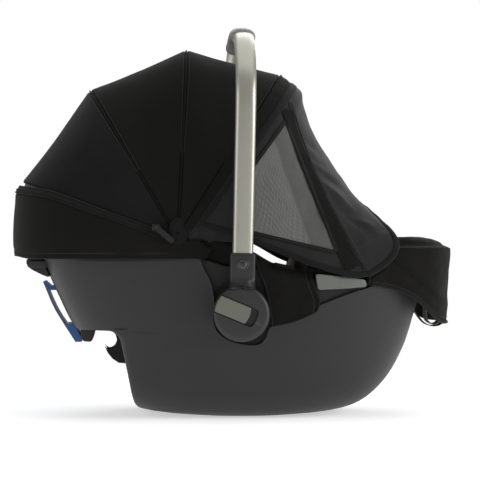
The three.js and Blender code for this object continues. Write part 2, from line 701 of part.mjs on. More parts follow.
// Fabric stretched between two bows, standing just outside them.
function makePanel(from, to) {
  const outside = 5.5;
  const clear = 1.3; // from the middle of each bow
  const grid = stepsTo1(4).map((f) => stepsTo1(18).map((t) => {
    const at = mix(0.018, 0.982, t);
    const a = archPoint(from, at, outside);
    const b = archPoint(to, at, outside);
    const edge = clear / a.distanceTo(b);
    return a.lerp(b, mix(edge, 1 - edge, f));
  }));
  return sheet(grid, FABRIC, vec(PIVOT.x, 0, PIVOT.z));
}

// The valance round the head end, under the rear bow.
const SKIRT = { half: 187, reach: 234, front: -37, low: 227, squareness: 2.6 };

function makeSkirt() {
  const plan = (inset) => {
    const p = 2 / SKIRT.squareness;
    const around = stepsTo1(30).map((t) => {
      const a = Math.PI * t;
      const c = Math.cos(a);
      return [
        PIVOT.x - (SKIRT.reach - inset) * Math.sin(a) ** p,
        (SKIRT.half - inset) * Math.sign(c) * Math.abs(c) ** p,
      ];
    });
    return [[SKIRT.front, SKIRT.half - inset], ...around, [SKIRT.front, -SKIRT.half + inset]];
  };
  const loop = [...plan(0), ...plan(FABRIC + 0.3).toReversed()];
  const shape = new THREE.Shape(loop.map(([x, y]) => new THREE.Vector2(x, y)));
  const wall = new THREE.ExtrudeGeometry(shape, { depth: 140, bevelEnabled: false });
  wall.translate(0, 0, 210);
  const slope = Math.tan(radians(180 - BOWS.rear.angle));
  const outline = new THREE.Shape();
  outline.moveTo(-345, SKIRT.low);
  outline.lineTo(SKIRT.front - 15, SKIRT.low);
  outline.absarc(SKIRT.front - 15, SKIRT.low + 15, 15, -Math.PI / 2, 0, false);
  outline.lineTo(SKIRT.front - 12, 252);
  outline.lineTo(PIVOT.x, PIVOT.z - 3);
  outline.lineTo(-270, PIVOT.z - 3 + (PIVOT.x + 270) * slope);
  outline.lineTo(-345, PIVOT.z + 9 + (PIVOT.x + 270) * slope);
  outline.closePath();
  return solid(wall).intersect(solid(across(outline, -260, 260)));
}

// The pull-out drape: arches that run from the front bow to the foot end.
// Each row is the foot of the arch (x, half width, z), its crown (x, z), its squareness, and how far
// forward its flanks bulge over the boot.
const DRAPE_ROWS = [
  { foot: [-76, 187.5, 264], crown: [72, 488.5], squareness: 2.6 },
  { foot: [-52, 188.5, 272], crown: [90.5, 479.5], squareness: 2.5 },
  { foot: [-15, 189, 262.5], crown: [101.5, 470.5], squareness: 2.4 },
  { foot: [22, 189, 249], crown: [104.7, 455], squareness: 2.3 },
  { foot: [58, 188, 235], crown: [111.6, 433.5], squareness: 2.25 },
  { foot: [92, 187.5, 221], crown: [124, 404.5], squareness: 2.2, bulge: 2 },
  { foot: [124, 187, 211], crown: [139.3, 375.5], squareness: 2.15, bulge: 6 },
  { foot: [150, 186, 204], crown: [155.3, 349.5], squareness: 2.1, bulge: 14 },
  { foot: [168, 184, 201.5], crown: [169, 330], squareness: 2.1, bulge: 25 },
  { foot: [182, 181, 203.5], crown: [185, 308.5], squareness: 2.1, bulge: 40 },
];
const MESH_WINDOW = [[66, 411], [135, 235], [-32, 275]];

function drapeGrid(rows) {
  const columns = 20;
  return rows.map(({ foot, crown, squareness, bulge = 0 }) => stepsTo1(columns).map((t) => {
    const a = Math.PI * t;
    const c = Math.cos(a);
    const p = 2 / squareness;
    const rise = Math.sin(a) ** p;
    const y = -foot[1] * Math.sign(c) * Math.abs(c) ** p;
    const forward = bulge * Math.sin(Math.PI * rise ** 0.8) ** 1.3;
    return vec(mix(foot[0], crown[0], rise) + forward, y, mix(foot[2], crown[1], rise));
  }));
}

function makeDrape() {
  const visor = [DRAPE_ROWS[0], { foot: [-53, 188.5, 272], crown: [89.9, 479.9], squareness: 2.5 }];
  add("canopy_visor", solid(sheet(drapeGrid(visor), FABRIC, vec(60, 0, 230))), "blackFabric");
  const whole = solid(sheet(drapeGrid(DRAPE_ROWS.slice(1)), FABRIC, vec(60, 0, 230)));
  const middle = MESH_WINDOW.reduce(([x, z], p) => [x + p[0] / 3, z + p[1] / 3], [0, 0]);
  const grown = MESH_WINDOW.map(([x, z]) => [
    x + (x - middle[0]) * 0.006, z + (z - middle[1]) * 0.006,
  ]);
  const window = (outline, side) => mirrored(solid(across(outline, 60, 260)), side);
  add("drape_sheet", whole.subtract(window(grown, -1)).subtract(window(grown, 1)), "greyFabric");
  add("drape_mesh_right", whole.intersect(window(MESH_WINDOW, -1)), "mesh");
  add("drape_mesh_left", whole.intersect(window(MESH_WINDOW, 1)), "mesh");
}

// ---------------------------------------------------------------- latch to the base
function makeHook(side) {
  const outline = [
    [-188, 98], [-186, 95.2], [-182, 93.4], [-178.5, 94], [-174, 97], [-171.4, 102], [-170.4, 108.5],
    [-172.5, 115.5], [-178.5, 121.5], [-170, 121.5], [-160, 119], [-148, 118], [-139, 113], [-138, 103],
    [-146, 84], [-158, 73], [-168, 74], [-177, 80], [-184, 89],
  ];
  const y = side * HOOK.y;
  const made = solid(across(outline, y - HOOK.width / 2, y + HOOK.width / 2));
  return made.subtract(solid(bar(HOOK.x, HOOK.z, 4.2, y - 10, y + 10, 16)));
}

function makeReleaseHandle() {
  const outline = [
    [-299.5, 225.5], [-300.5, 220], [-298, 214.5], [-292, 210], [-285, 206.5], [-277, 202.5],
    [-269.5, 199.8], [-267, 200.5], [-272, 211], [-276, 220], [-278.4, 225.5],
  ];
  const reach = LEVER.half + 6.4;
  return solid(across(outline, -LEVER.half, LEVER.half))
    .subtract(bucket(SHELL_SLICES, -1.6))
    .add(solid(bar(LEVER.x, LEVER.z, LEVER.pin, -reach, reach, 12)));
}

// The end of the adjuster strap, looped under the boot.
function makeAdjusterStrap() {
  const path = new THREE.CatmullRomCurve3([
    vec(287, 0, 182), vec(286, 0, 164), vec(285, 0, 146), vec(287, 0, 134), vec(296, 0, 128),
    vec(305, 0, 131), vec(309, 0, 142), vec(306, 0, 155),
  ]);
  const grid = stepsTo1(14).map((t) => {
    const p = path.getPoint(t);
    return [-0.5, 0.5].map((w) => vec(p.x, w * STRAP.width, p.z));
  });
  return solid(sheet(grid, STRAP.thickness, vec(298, 0, 160)));
}

// The closed end of the canopy's zip and the tab that hangs from it.
const ZIP = { x: -115, z: 270.5, y: 188.2 };

function makeZipSlider() {
  const block = solid(box(ZIP.x - 5, ZIP.x + 5, -ZIP.y - 3, -ZIP.y, ZIP.z - 4, ZIP.z + 4));
  return block.add(solid(bar(ZIP.x, ZIP.z, 1.6, -ZIP.y - 6, -ZIP.y - 2, 10)));
}

function makeZipPull() {
  const shape = roundedRectangle(36, 8, 3.9);
  shape.holes.push(new THREE.Path().absarc(-13.5, 0, 2, 0, 2 * Math.PI, true));
  const g = new THREE.ExtrudeGeometry(shape, { depth: 1.8, bevelEnabled: false, curveSegments: 6 });
  g.translate(13.5, 0, 0).rotateX(Math.PI / 2).rotateY(radians(40));
  return solid(g.translate(ZIP.x, -ZIP.y - 3.5, ZIP.z));
}

// ---------------------------------------------------------------- assembly
const SIDES = [[-1, "right"], [1, "left"]];
add("shell", makeShell(), "shell");
add("foam_liner", makeFoam(), "foam");
add("seat_pad", makeSeatPad(), "greyFabric");
add("head_support", makeHeadSupport(), "greyFabric");
add("foot_cover", makeFootCover(), "blackFabric");
add("shoulder_belt_guide", makeShoulderBeltGuide(), "blue");
add("canopy_bow_rear", makeBow(BOWS.rear), "trim");
add("canopy_bow_middle", makeBow(BOWS.middle), "trim");
add("canopy_bow_top", makeBow(BOWS.top), "trim");
add("canopy_bow_front", makeBow(BOWS.front), "trim");
add("canopy_panel_rear", solid(makePanel(BOWS.rear, BOWS.middle)), "blackFabric");
add("canopy_panel_middle", solid(makePanel(BOWS.middle, BOWS.top)), "blackFabric");
add("canopy_panel_front", solid(makePanel(BOWS.top, BOWS.front)), "blackFabric");
add("canopy_skirt", makeSkirt(), "blackFabric");
makeDrape();
for (const [side, word] of SIDES) {
  add("handle_mount_" + word, makeHandleMount(side), "trim");
  add("pivot_pin_" + word, makePivotPin(side), "steel");
  add("canopy_mount_" + word, makeCanopyMount(side), "trim");
  add("belt_guide_" + word, makeBeltGuide(side), "badge");
  add("rim_flap_" + word, makeRimFlap(side), "blackFabric");
  add("latch_hook_" + word, makeHook(side), "hook");
}
add("latch_shaft", solid(bar(HOOK.x, HOOK.z, 4, 0.6 - HOOK.shaft, HOOK.shaft - 0.6, 16)), "steel");
add("release_handle", makeReleaseHandle(), "trim");
makeHandle();
makeHarness();
add("adjuster_strap", makeAdjusterStrap(), "webbing");
add("zip_slider", makeZipSlider(), "trim");
add("zip_pull", makeZipPull(), "badge");

export default seat;
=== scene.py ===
"""Looks of the infant car seat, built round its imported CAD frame.

Lengths in this file are millimetres, turned into metres where a mesh is made.
X runs towards the child's feet, Y to the child's left and Z up.
"""
import json
import math

import bmesh
import bpy
import numpy as np
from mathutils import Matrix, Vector, noise
from mathutils.bvhtree import BVHTree


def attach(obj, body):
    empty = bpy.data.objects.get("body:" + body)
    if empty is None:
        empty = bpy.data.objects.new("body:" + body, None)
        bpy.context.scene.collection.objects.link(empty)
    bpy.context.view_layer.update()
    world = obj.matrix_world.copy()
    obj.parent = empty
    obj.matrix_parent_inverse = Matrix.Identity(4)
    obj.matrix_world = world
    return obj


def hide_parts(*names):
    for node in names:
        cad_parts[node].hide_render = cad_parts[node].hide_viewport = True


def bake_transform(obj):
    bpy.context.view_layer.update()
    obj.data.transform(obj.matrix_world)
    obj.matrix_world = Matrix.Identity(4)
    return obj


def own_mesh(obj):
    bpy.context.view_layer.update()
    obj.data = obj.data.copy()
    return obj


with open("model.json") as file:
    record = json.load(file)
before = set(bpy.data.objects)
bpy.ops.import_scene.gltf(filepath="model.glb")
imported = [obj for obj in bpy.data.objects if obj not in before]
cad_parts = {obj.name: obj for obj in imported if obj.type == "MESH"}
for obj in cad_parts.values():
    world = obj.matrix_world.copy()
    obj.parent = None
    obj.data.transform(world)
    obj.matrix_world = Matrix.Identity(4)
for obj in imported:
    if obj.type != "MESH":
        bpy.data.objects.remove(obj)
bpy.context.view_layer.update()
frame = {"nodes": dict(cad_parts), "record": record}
NODES = frame["nodes"]
SIDES = ((-1, "right"), (1, "left"))

# ---------------------------------------------------------------- camera, floor and light
scene = bpy.context.scene
scene.view_settings.view_transform = "Standard"


def add_object(name, data):
    obj = bpy.data.objects.new(name, data)
    scene.collection.objects.link(obj)
    return obj


LENS_MM, SENSOR_MM = 162.3, 36
CAMERA_PLACE = (-0.1454, -3.196, 0.253)
CAMERA_WAY = (0.0489, 0.9988, 0)
eye = bpy.data.cameras.new("camera")
eye.lens, eye.sensor_width = LENS_MM, SENSOR_MM
camera = add_object("camera", eye)
camera.location = CAMERA_PLACE
camera.rotation_euler = Vector(CAMERA_WAY).to_track_quat("-Z", "Y").to_euler()
scene.camera = camera


def lamp(name, place, aim, size, power, tint=(1, 1, 1)):
    data = bpy.data.lights.new(name, "AREA")
    data.shape, data.size, data.energy, data.color = "SQUARE", size, power, tint
    obj = add_object(name, data)
    obj.location = place
    obj.rotation_euler = (Vector(aim) - Vector(place)).to_track_quat("-Z", "Y").to_euler()
    return obj


lamp("top_light", (0.1, 0.5, 2.4), (0, 0, 0), 3.0, 20)
lamp("left_light", (-2.6, -1.3, 1.0), (0, 0, 0.25), 1.7, 13)
lamp("right_light", (2.6, -1.1, 1.1), (0, 0, 0.3), 1.7, 42)
lamp("back_light", (0.4, 2.6, 1.6), (0, 0, 0.3), 1.6, 22)

# how bright the white surroundings are: as light on the pieces, and as the camera sees them
SKY_AS_LIGHT, SKY_SEEN = 0.38, 1.0
world = bpy.data.worlds.new("studio")
world.use_nodes = True
scene.world = world
sky = world.node_tree.nodes["Background"]
seen = world.node_tree.nodes.new("ShaderNodeLightPath")
level = world.node_tree.nodes.new("ShaderNodeMapRange")
level.inputs["To Min"].default_value = SKY_AS_LIGHT
level.inputs["To Max"].default_value = SKY_SEEN
world.node_tree.links.new(seen.outputs["Is Camera Ray"], level.inputs["Value"])
world.node_tree.links.new(level.outputs["Result"], sky.inputs["Strength"])
sky.inputs["Color"].default_value = (1, 1, 1, 1)


# ---------------------------------------------------------------- materials
def linear(hex_colour):
    parts = [int(hex_colour[i:i + 2], 16) / 255 for i in (0, 2, 4)]
    return [c / 12.92 if c < 0.04045 else ((c + 0.055) / 1.055) ** 2.4 for c in parts] + [1]


class Nodes:
    """A short way to add nodes to a material."""

    def __init__(self, name):
        self.material = bpy.data.materials.new(name)
        self.material.use_nodes = True
        self.tree = self.material.node_tree
        self.shader = self.tree.nodes["Principled BSDF"]

    def add(self, kind, settings=None, **inputs):
        node = self.tree.nodes.new("ShaderNode" + kind)
        for key, value in (settings or {}).items():
            setattr(node, key, value)
        for key, value in inputs.items():
            socket = node.inputs[int(key[1:]) if key[0] == "_" else key.replace("_", " ")]
            if isinstance(value, bpy.types.NodeSocket):
                self.tree.links.new(value, socket)
            else:
                socket.default_value = value
        return node

    def link(self, output, socket):
        self.tree.links.new(output, self.shader.inputs[socket])

    def maths(self, operation, a, b=0.0, c=0.0):
        return self.add("Math", {"operation": operation}, _0=a, _1=b, _2=c).outputs[0]


def look(name, colour, rough, metal=0.0, grain=(900, 0.15, 0.0002), mottle=0.12, sheen=0.0,
         weave=None, coat=0.0, specular=0.5, alpha=None, stretch=(1, 1, 1), edge_highlight=0.0):
    """A surface with fine grain, slow colour variation and, on cloth, a weave that follows the UVs.
    weave is (pitch in metres, depth, how much it darkens the colour, kind)."""
    n = Nodes(name)
    s = n.shader.inputs
    place = n.add("TexCoord")
    scaled = n.add("Mapping", None, Vector=place.outputs["Object"], Scale=stretch)
    fine = n.add("TexNoise", None, Vector=scaled.outputs[0], Scale=grain[0], Detail=3.0)
    slow = n.add("TexNoise", None, Vector=place.outputs["Object"], Scale=9.0, Detail=4.0)
    tone = n.maths("ADD", n.maths("MULTIPLY", slow.outputs["Fac"], 0.65),
                   n.maths("MULTIPLY", fine.outputs["Fac"], 0.35))
    base = linear(colour)
    dark = [c * (1 - mottle) for c in base[:3]] + [1]
    light = [min(1, c * (1 + mottle)) for c in base[:3]] + [1]
    ramp = n.add("ValToRGB", None, Fac=tone)
    ramp.color_ramp.elements[0].position, ramp.color_ramp.elements[0].color = 0.38, dark
    ramp.color_ramp.elements[1].position, ramp.color_ramp.elements[1].color = 0.62, light
    shade, height = ramp.outputs["Color"], n.maths("MULTIPLY", fine.outputs["Fac"], grain[2] * 1000)
    if weave:
        pitch, depth, darken, kind = weave
        bands = []
        for direction in ("X", "Y") if kind != "rib" else ("Y", "DIAGONAL"):
            wave = n.add("TexWave", {"bands_direction": direction}, Vector=place.outputs["UV"],
                         Scale=0.3142 / pitch)
            bands.append(wave.outputs["Fac"])
        if kind == "net":
            thread = n.maths("MAXIMUM", *bands)
        elif kind == "rib":
            thread = n.maths("ADD", n.maths("MULTIPLY", bands[0], 0.7), n.maths("MULTIPLY", bands[1], 0.3))
        else:
            over, under = [n.maths("SUBTRACT", band, 0.5) for band in bands]
            thread = n.maths("MULTIPLY_ADD", n.maths("MULTIPLY", over, under), 2.0, 0.5)
        height = n.maths("ADD", height, n.maths("MULTIPLY", thread, depth * 1000))
        shadow = n.add("MapRange", None, Value=thread, To_Min=1 - darken, To_Max=1.0)
        shade = n.add("MixRGB", {"blend_type": "MULTIPLY"}, Fac=1.0, Color1=shade,
                      Color2=shadow.outputs["Result"]).outputs[0]
        if alpha:
            hole = n.add("MapRange", None, Value=thread, From_Min=0.62, From_Max=0.86,
                         To_Min=alpha[0], To_Max=alpha[1])
            n.link(hole.outputs["Result"], "Alpha")
    # painted highlight: convex edges, found by pointiness, get a lighter colour that stands in for the light
    # they catch
    if edge_highlight:
        edge = n.add("NewGeometry")
        highlight_mask = n.add("MapRange", None, Value=edge.outputs["Pointiness"], From_Min=0.52, From_Max=0.6)
        highlight_colour = [min(1, c * (1 + edge_highlight) + 0.01) for c in base[:3]] + [1]
        shade = n.add("MixRGB", None, Fac=highlight_mask.outputs["Result"], Color1=shade, Color2=highlight_colour).outputs[0]
    bump = n.add("Bump", None, Height=height, Strength=grain[1], Distance=0.001)
    n.link(shade, "Base Color")
    n.link(bump.outputs["Normal"], "Normal")
    spread = n.add("MapRange", None, Value=tone, To_Min=max(0, rough - 0.07), To_Max=min(1, rough + 0.07))
    n.link(spread.outputs["Result"], "Roughness")
    s["Metallic"].default_value = metal
    s["Specular IOR Level"].default_value = specular
    s["Sheen Weight"].default_value = sheen
    s["Sheen Roughness"].default_value = 0.45
    s["Coat Weight"].default_value = coat
    s["Coat Roughness"].default_value = 0.2
    return n.material


# the shell, trim and hook_plastic looks paint a highlight onto their edges
LOOKS = {
    "shell": look("shell", "211f1f", 0.52, grain=(1500, 0.35, 0.00012), mottle=0.07, specular=0.4,
                  edge_highlight=0.35),
    "foam": look("foam", "1b1b1c", 0.9, grain=(320, 0.6, 0.0006), specular=0.2),
    "black_fabric": look("black_fabric", "171615", 0.92, grain=(500, 0.45, 0.00022), mottle=0.14,
                         sheen=0.05,
                         weave=(0.0011, 0.00016, 0.25, "plain"), specular=0.12),
    "rear_fabric": look("rear_fabric", "181819", 0.9, grain=(300, 0.5, 0.0003), mottle=0.2, sheen=0.08,
                        weave=(0.0014, 0.00018, 0.3, "plain"), specular=0.14),
    "grey_fabric": look("grey_fabric", "29292a", 0.88, grain=(420, 0.45, 0.0003), mottle=0.18, sheen=0.1,
                        weave=(0.0013, 0.0002, 0.28, "plain"), specular=0.15),
    "binding": look("binding", "19191a", 0.85, grain=(600, 0.4, 0.0002), sheen=0.08,
                    weave=(0.0009, 0.0002, 0.3, "rib"), specular=0.15),
    "drape_cloth": look("drape_cloth", "1d1d1e", 0.78, grain=(380, 0.35, 0.0003), mottle=0.12, sheen=0.15,
                        weave=(0.0008, 0.0001, 0.15, "plain"), specular=0.25),
    "mesh_fabric": look("mesh_fabric", "5f5f5d", 0.8, grain=(700, 0.3, 0.0001), mottle=0.08, sheen=0.15,
                        weave=(0.0012, 0.00014, 0.1, "net"), specular=0.2, alpha=(0.6, 0.98)),
    "handle_metal": look("handle_metal", "b3b2a6", 0.34, metal=0.85, grain=(2200, 0.12, 0.00006),
                         mottle=0.03,
                         stretch=(1, 1, 0.12), coat=0.1),
    "grip_leather": look("grip_leather", "8a8681", 0.55, grain=(520, 0.6, 0.0004), mottle=0.1,
                         specular=0.4),
    "trim": look("trim", "252323", 0.42, grain=(1800, 0.22, 0.0001), mottle=0.05, specular=0.45, edge_highlight=0.4),
    "button": look("button", "686960", 0.38, metal=0.35, grain=(2000, 0.15, 0.00007), mottle=0.04,
                   coat=0.1),
    "badge": look("badge", "636560", 0.36, metal=0.55, grain=(2400, 0.16, 0.00006), mottle=0.04,
                  stretch=(0.15, 1, 1)),
    "panel": look("panel", "1b1a1a", 0.6, grain=(1500, 0.3, 0.00012), mottle=0.07, specular=0.3),
    "dark_steel": look("dark_steel", "4c4c4c", 0.35, metal=0.9, grain=(2600, 0.12, 0.00005), mottle=0.05),
    "blue_plastic": look("blue_plastic", "164786", 0.34, grain=(1400, 0.15, 0.0001), mottle=0.06,
                         coat=0.15),
    "steel": look("steel", "8f9091", 0.28, metal=1.0, grain=(2600, 0.12, 0.00005), mottle=0.05),
    "hook_plastic": look("hook_plastic", "111112", 0.5, grain=(1300, 0.3, 0.0001), mottle=0.08,
                         specular=0.4,
                         edge_highlight=0.5),
    "webbing": look("webbing", "85766f", 0.82, grain=(700, 0.3, 0.0002), mottle=0.1, sheen=0.12,
                    weave=(0.0022, 0.0004, 0.4, "rib"), specular=0.2),
    "red_plastic": look("red_plastic", "b3221c", 0.36, grain=(1500, 0.12, 0.0001), mottle=0.05, coat=0.15),
    "thread": look("thread", "565554", 0.7, grain=(3000, 0.3, 0.0001), specular=0.2),
    "light_thread": look("light_thread", "8f8c86", 0.7, grain=(3000, 0.3, 0.0001), specular=0.2),
}
SLOTS = {"panel": "trim", "dark_steel": "steel", "rear_fabric": "black_fabric", "binding": "black_fabric",
         "drape_cloth": "grey_fabric",
         "thread": "grey_fabric", "light_thread": "webbing"}


# ---------------------------------------------------------------- geometry helpers
def ease(x, start, end):
    t = np.clip((np.asarray(x, float) - start) / (end - start), 0, 1)
    return t * t * (3 - 2 * t)


def smooth_line(points, closed=False, per=14):
    """A Catmull-Rom curve through the points."""
    p = np.asarray(points, float)
    if closed:
        p = np.r_[p[-1:], p, p[:2]]
    else:
        p = np.r_[2 * p[:1] - p[1:2], p, 2 * p[-1:] - p[-2:-1]]
    t = np.linspace(0, 1, per, endpoint=False)[:, None]
    parts = [
        0.5 * (2 * b + (c - a) * t + (2 * a - 5 * b + 4 * c - d) * t**2 + (3 * b - a - 3 * c + d) * t**3)
        for a, b, c, d in zip(p, p[1:], p[2:], p[3:])
    ]
    return np.concatenate(parts if closed else parts + [p[-2:-1]])


def lengths(line):
    return np.r_[0, np.cumsum(np.linalg.norm(np.diff(line, axis=0), axis=1))]


def sample(line, s, t):
    """Points of a line at the distances t along it, where s holds the distance of each of its own points."""
    return np.stack([np.interp(t, s, line[:, k]) for k in range(line.shape[1])], 1)


TINY = 1e-9


def unit(vectors, guard=0.0):
    """The vectors at length one. guard keeps a vector of no length from dividing by nothing."""
    return vectors / (np.linalg.norm(vectors, axis=-1, keepdims=True) + guard)


def signed_power(value, power):
    return np.sign(value) * np.abs(value) ** power


def grid_normals(grid):
    return unit(np.cross(np.gradient(grid, axis=1), np.gradient(grid, axis=0)), TINY)


# a place under the canopy, which its cloth faces away from
UNDER_CANOPY = (60, 0, 230)


def outward(grid, middle=UNDER_CANOPY):
    """The normals of a grid, turned away from a point."""
    n = grid_normals(grid)
    return n * np.sign((n * (grid - middle)).sum(2))[..., None]


def spaced(line, count, closed=False):
    """Points at even distances along a line."""
    line = np.asarray(line, float)
    if closed:
        line = np.r_[line, line[:1]]
    s = lengths(line)
    t = np.linspace(0, s[-1], count, endpoint=not closed)
    return sample(line, s, t)


def shade_smooth(data):
    data.polygons.foreach_set("use_smooth", [True] * len(data.polygons))


def thicken(obj, thick):
    """Gives a sheet a second side."""
    solid = obj.modifiers.new("thickness", "SOLIDIFY")
    solid.thickness, solid.offset = thick / 1000, -1


def make(name, points, faces, material, body="seat", uvs=None):
    data = bpy.data.meshes.new(name)
    data.from_pydata((np.asarray(points, float) / 1000).tolist(), [], [list(map(int, f)) for f in faces])
    data.materials.append(LOOKS[material])
    shade_smooth(data)
    if uvs is not None:
        layer = data.uv_layers.new(name="UVMap")
        layer.data.foreach_set("uv", np.asarray(uvs, float).ravel() / 1000)
    obj = add_object(name, data)
    SLOTS.get(material, material)
    if body:
        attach(obj, body)
    return obj


def grid_piece(name, grid, material, body="seat", wrap=False, caps=False, away_from=None, thick=0.0,
               skip=None):
    """A sheet or tube from a grid of points (rows, columns, 3). wrap joins the last column to the first,
    caps closes both ends of a tube, and thick gives a sheet a second side."""
    grid = np.asarray(grid, float)
    if away_from is not None:
        i, j = grid.shape[0] // 2, grid.shape[1] // 2
        normal = np.cross(grid[i, j + 1] - grid[i, j - 1], grid[i + 1, j] - grid[i - 1, j])
        if normal @ (grid[i, j] - np.asarray(away_from, float)) < 0:
            grid = grid[:, ::-1]
    rows, cols = grid.shape[:2]
    across = np.r_[grid.transpose(1, 0, 2),
                   grid[:, :1].transpose(1, 0, 2)] if wrap else grid.transpose(1, 0, 2)
    u = np.r_[0, np.cumsum(np.linalg.norm(np.diff(across, axis=0), axis=2).mean(1))]
    v = np.r_[0, np.cumsum(np.linalg.norm(np.diff(grid, axis=0), axis=2).mean(1))]
    points, faces, uvs = grid.reshape(-1, 3), [], []
    for i in range(rows - 1):
        for j in range(cols if wrap else cols - 1):
            if skip is not None and skip[i, j]:
                continue
            k = (j + 1) % cols
            faces.append((i * cols + j, i * cols + k, (i + 1) * cols + k, (i + 1) * cols + j))
            uvs += [(u[j], v[i]), (u[j + 1], v[i]), (u[j + 1], v[i + 1]), (u[j], v[i + 1])]
    if caps:
        for row, turn in ((0, -1), (rows - 1, 1)):
            ring = list(range(row * cols, row * cols + cols))[::turn]
            faces.append(ring)
            uvs += [(u[k % cols], v[row]) for k in ring]
    obj = make(name, points, faces, material, body, uvs)
    if thick:
        thicken(obj, thick)
    return obj


def bevel(obj, width=0.6, segments=2, angle=32):
    edge = obj.modifiers.new("edges", "BEVEL")
    edge.width, edge.segments, edge.angle_limit = width / 1000, segments, math.radians(angle)
    edge.limit_method, edge.harden_normals = "ANGLE", True
    edge.use_clamp_overlap = True
    return obj


def sharp(obj, angle=38):
    """Marks the edges that stay crisp under smooth shading."""
    shape = bmesh.new()
    shape.from_mesh(obj.data)
    for edge in shape.edges:
        edge.smooth = edge.calc_face_angle(0) < math.radians(angle)
    shape.to_mesh(obj.data)
    shape.free()
    return obj


def bake(obj):
    """Turns an object's modifiers into its mesh."""
    bpy.context.view_layer.update()
    made = bpy.data.meshes.new_from_object(obj.evaluated_get(bpy.context.evaluated_depsgraph_get()))
    obj.modifiers.clear()
    obj.data = made
    return obj


def cut(obj, *tools, join=()):
    """Takes the tools out of obj, and adds the join pieces to it."""
    for tool, operation in [(t, "DIFFERENCE") for t in tools] + [(t, "UNION") for t in join]:
        step = obj.modifiers.new("cut", "BOOLEAN")
        step.object, step.operation, step.solver = tool, operation, "MANIFOLD"
    bake(obj)
    for tool in (*tools, *join):
        bpy.data.objects.remove(tool)
    shade_smooth(obj.data)
    return obj


def prism(name, outline, y0, y1, material="shell", body="seat"):
    """A closed outline of the side view (x, z), run from one y to another."""
    outline = np.asarray(outline, float)
    n = len(outline)
    points = [(x, y, z) for y in (y0, y1) for x, z in outline]
    faces = [list(range(n)), list(range(2 * n - 1, n - 1, -1))]
    faces += [(i, i + n, (i + 1) % n + n, (i + 1) % n) for i in range(n)]
    area = sum(a[0] * b[1] - b[0] * a[1] for a, b in zip(outline, np.roll(outline, -1, 0)))
    if (area > 0) == (y1 > y0):
        faces = [f[::-1] for f in map(list, faces)]
    return make(name, points, [f[::-1] for f in map(list, faces)], material, body)


def circle(x, z, radius, count=48):
    a = np.linspace(0, 2 * np.pi, count, endpoint=False)
    return np.c_[x + radius * np.cos(a), z + radius * np.sin(a)]


def oval(width, depth, count, squareness=2.6):
    a = np.linspace(0, 2 * np.pi, count, endpoint=False)
    c, s = np.cos(a), np.sin(a)
    p = 2 / squareness
    return np.c_[width / 2 * signed_power(c, p), depth / 2 * signed_power(s, p)]


def sweep_grid(path, section, up):
    """A section carried along a path. up is roughly the direction of the section's second axis."""
    path = np.asarray(path, float)
    tangent = unit(np.gradient(path, axis=0))
    up = np.broadcast_to(np.asarray(up, float), path.shape)
    side = unit(np.cross(tangent, up))
    top = np.cross(side, tangent)
    section = np.asarray(section, float)
    return path[:, None] + side[:, None] * section[None, :, :1] + top[:, None] * section[None, :, 1:2]


def cord_piece(name, path, radius, material, body, up=(0, 1, 0.01), sides=8, flat=1.0):
    section = oval(2 * radius, 2 * radius * flat, sides, 2)
    return grid_piece(name, sweep_grid(path, section, up), material, body, wrap=True, caps=True)


def stitches(name, path, normals, material="thread", body="seat", pitch=3.6, size=(2.3, 0.75, 0.35)):
    """A run of thread: small raised lozenges along a line."""
    path, normals = np.asarray(path, float), np.asarray(normals, float)
    s = lengths(path)
    count = max(2, int(s[-1] / pitch))
    t = (np.arange(count) + 0.5) * s[-1] / count
    at, up = sample(path, s, t), sample(normals, s, t)
    along = unit(sample(path, s, t + 0.5) - sample(path, s, t - 0.5), TINY)
    up = unit(up - along * (up * along).sum(1)[:, None], TINY)
    side = np.cross(along, up)
    a, b, c = size
    corners = [along * a / 2, side * b / 2 + up * c * 0.3, -along * a / 2, -side * b / 2 + up * c * 0.3,
               up * c]
    points = np.stack([at + k for k in corners], 1).reshape(-1, 3)
    faces = [(5 * i + p, 5 * i + q, 5 * i + 4)
             for i in range(count) for p, q in ((0, 1), (1, 2), (2, 3), (3, 0))]
    return make(name, points, faces, material, body)


def tree_of(*objects):
    """What rays are cast at, in millimetres."""
    points, faces = [], []
    for obj in objects:
        start = len(points)
        points += [v.co * 1000 for v in obj.data.vertices]
        faces += [[start + k for k in p.vertices] for p in obj.data.polygons]
    return BVHTree.FromPolygons(points, faces)


def onto(tree, x, z, side, lift=0.0, fallback=180.0):
    """The point of a surface that a side view line meets first, and its outward normal."""
    hit, normal, _, _ = tree.ray_cast(Vector((x, side * 400, z)), Vector((0, -side, 0)))
    if hit is None:
        return np.array([x, side * fallback, z]), np.array([0, side, 0.0])
    normal = np.array(normal) * (1 if normal.y * side > 0 else -1)
    return np.array(hit) + normal * lift, normal


def ribbon(name, tree, outline, width, side, material, body, lift=0.5, height=1.0, closed=False, count=80,
           fallback=180.0, straight=False):
    """A strip of tape laid on a surface along a side view line."""
    line = np.asarray(outline, float)
    line = spaced(line if straight else smooth_line(line, closed), count, closed)
    pairs = [onto(tree, x, z, side, lift, fallback) for x, z in line]
    path = np.array([p for p, _ in pairs])
    normals = np.array([n for _, n in pairs])
    for _ in range(3):
        near = [path[:-2], path[1:-1], path[2:]]
        path[1:-1] = sum(near) / 3
        normals[1:-1] = (normals[:-2] + normals[1:-1] + normals[2:]) / 3
    if closed:
        path, normals = np.r_[path, path[:1]], np.r_[normals, normals[:1]]
    half, h = width / 2, height / 2
    section = [(-half, -h), (-half, h * 0.6), (-half * 0.8, h), (half * 0.8, h), (half, h * 0.6),
               (half, -h)]
    obj = grid_piece(name, sweep_grid(path, section, normals), material, body, wrap=True, caps=not closed)
    return obj, path, normals


def ripple(points, scale, seed=0.0):
    """Slow noise from -1 to 1 at points given in millimetres."""
    flat = np.asarray(points, float).reshape(-1, 3) / scale
    values = [noise.noise(Vector(p) + Vector((seed, 2 * seed, -seed))) for p in flat]
    return np.array(values).reshape(np.asarray(points).shape[:-1])


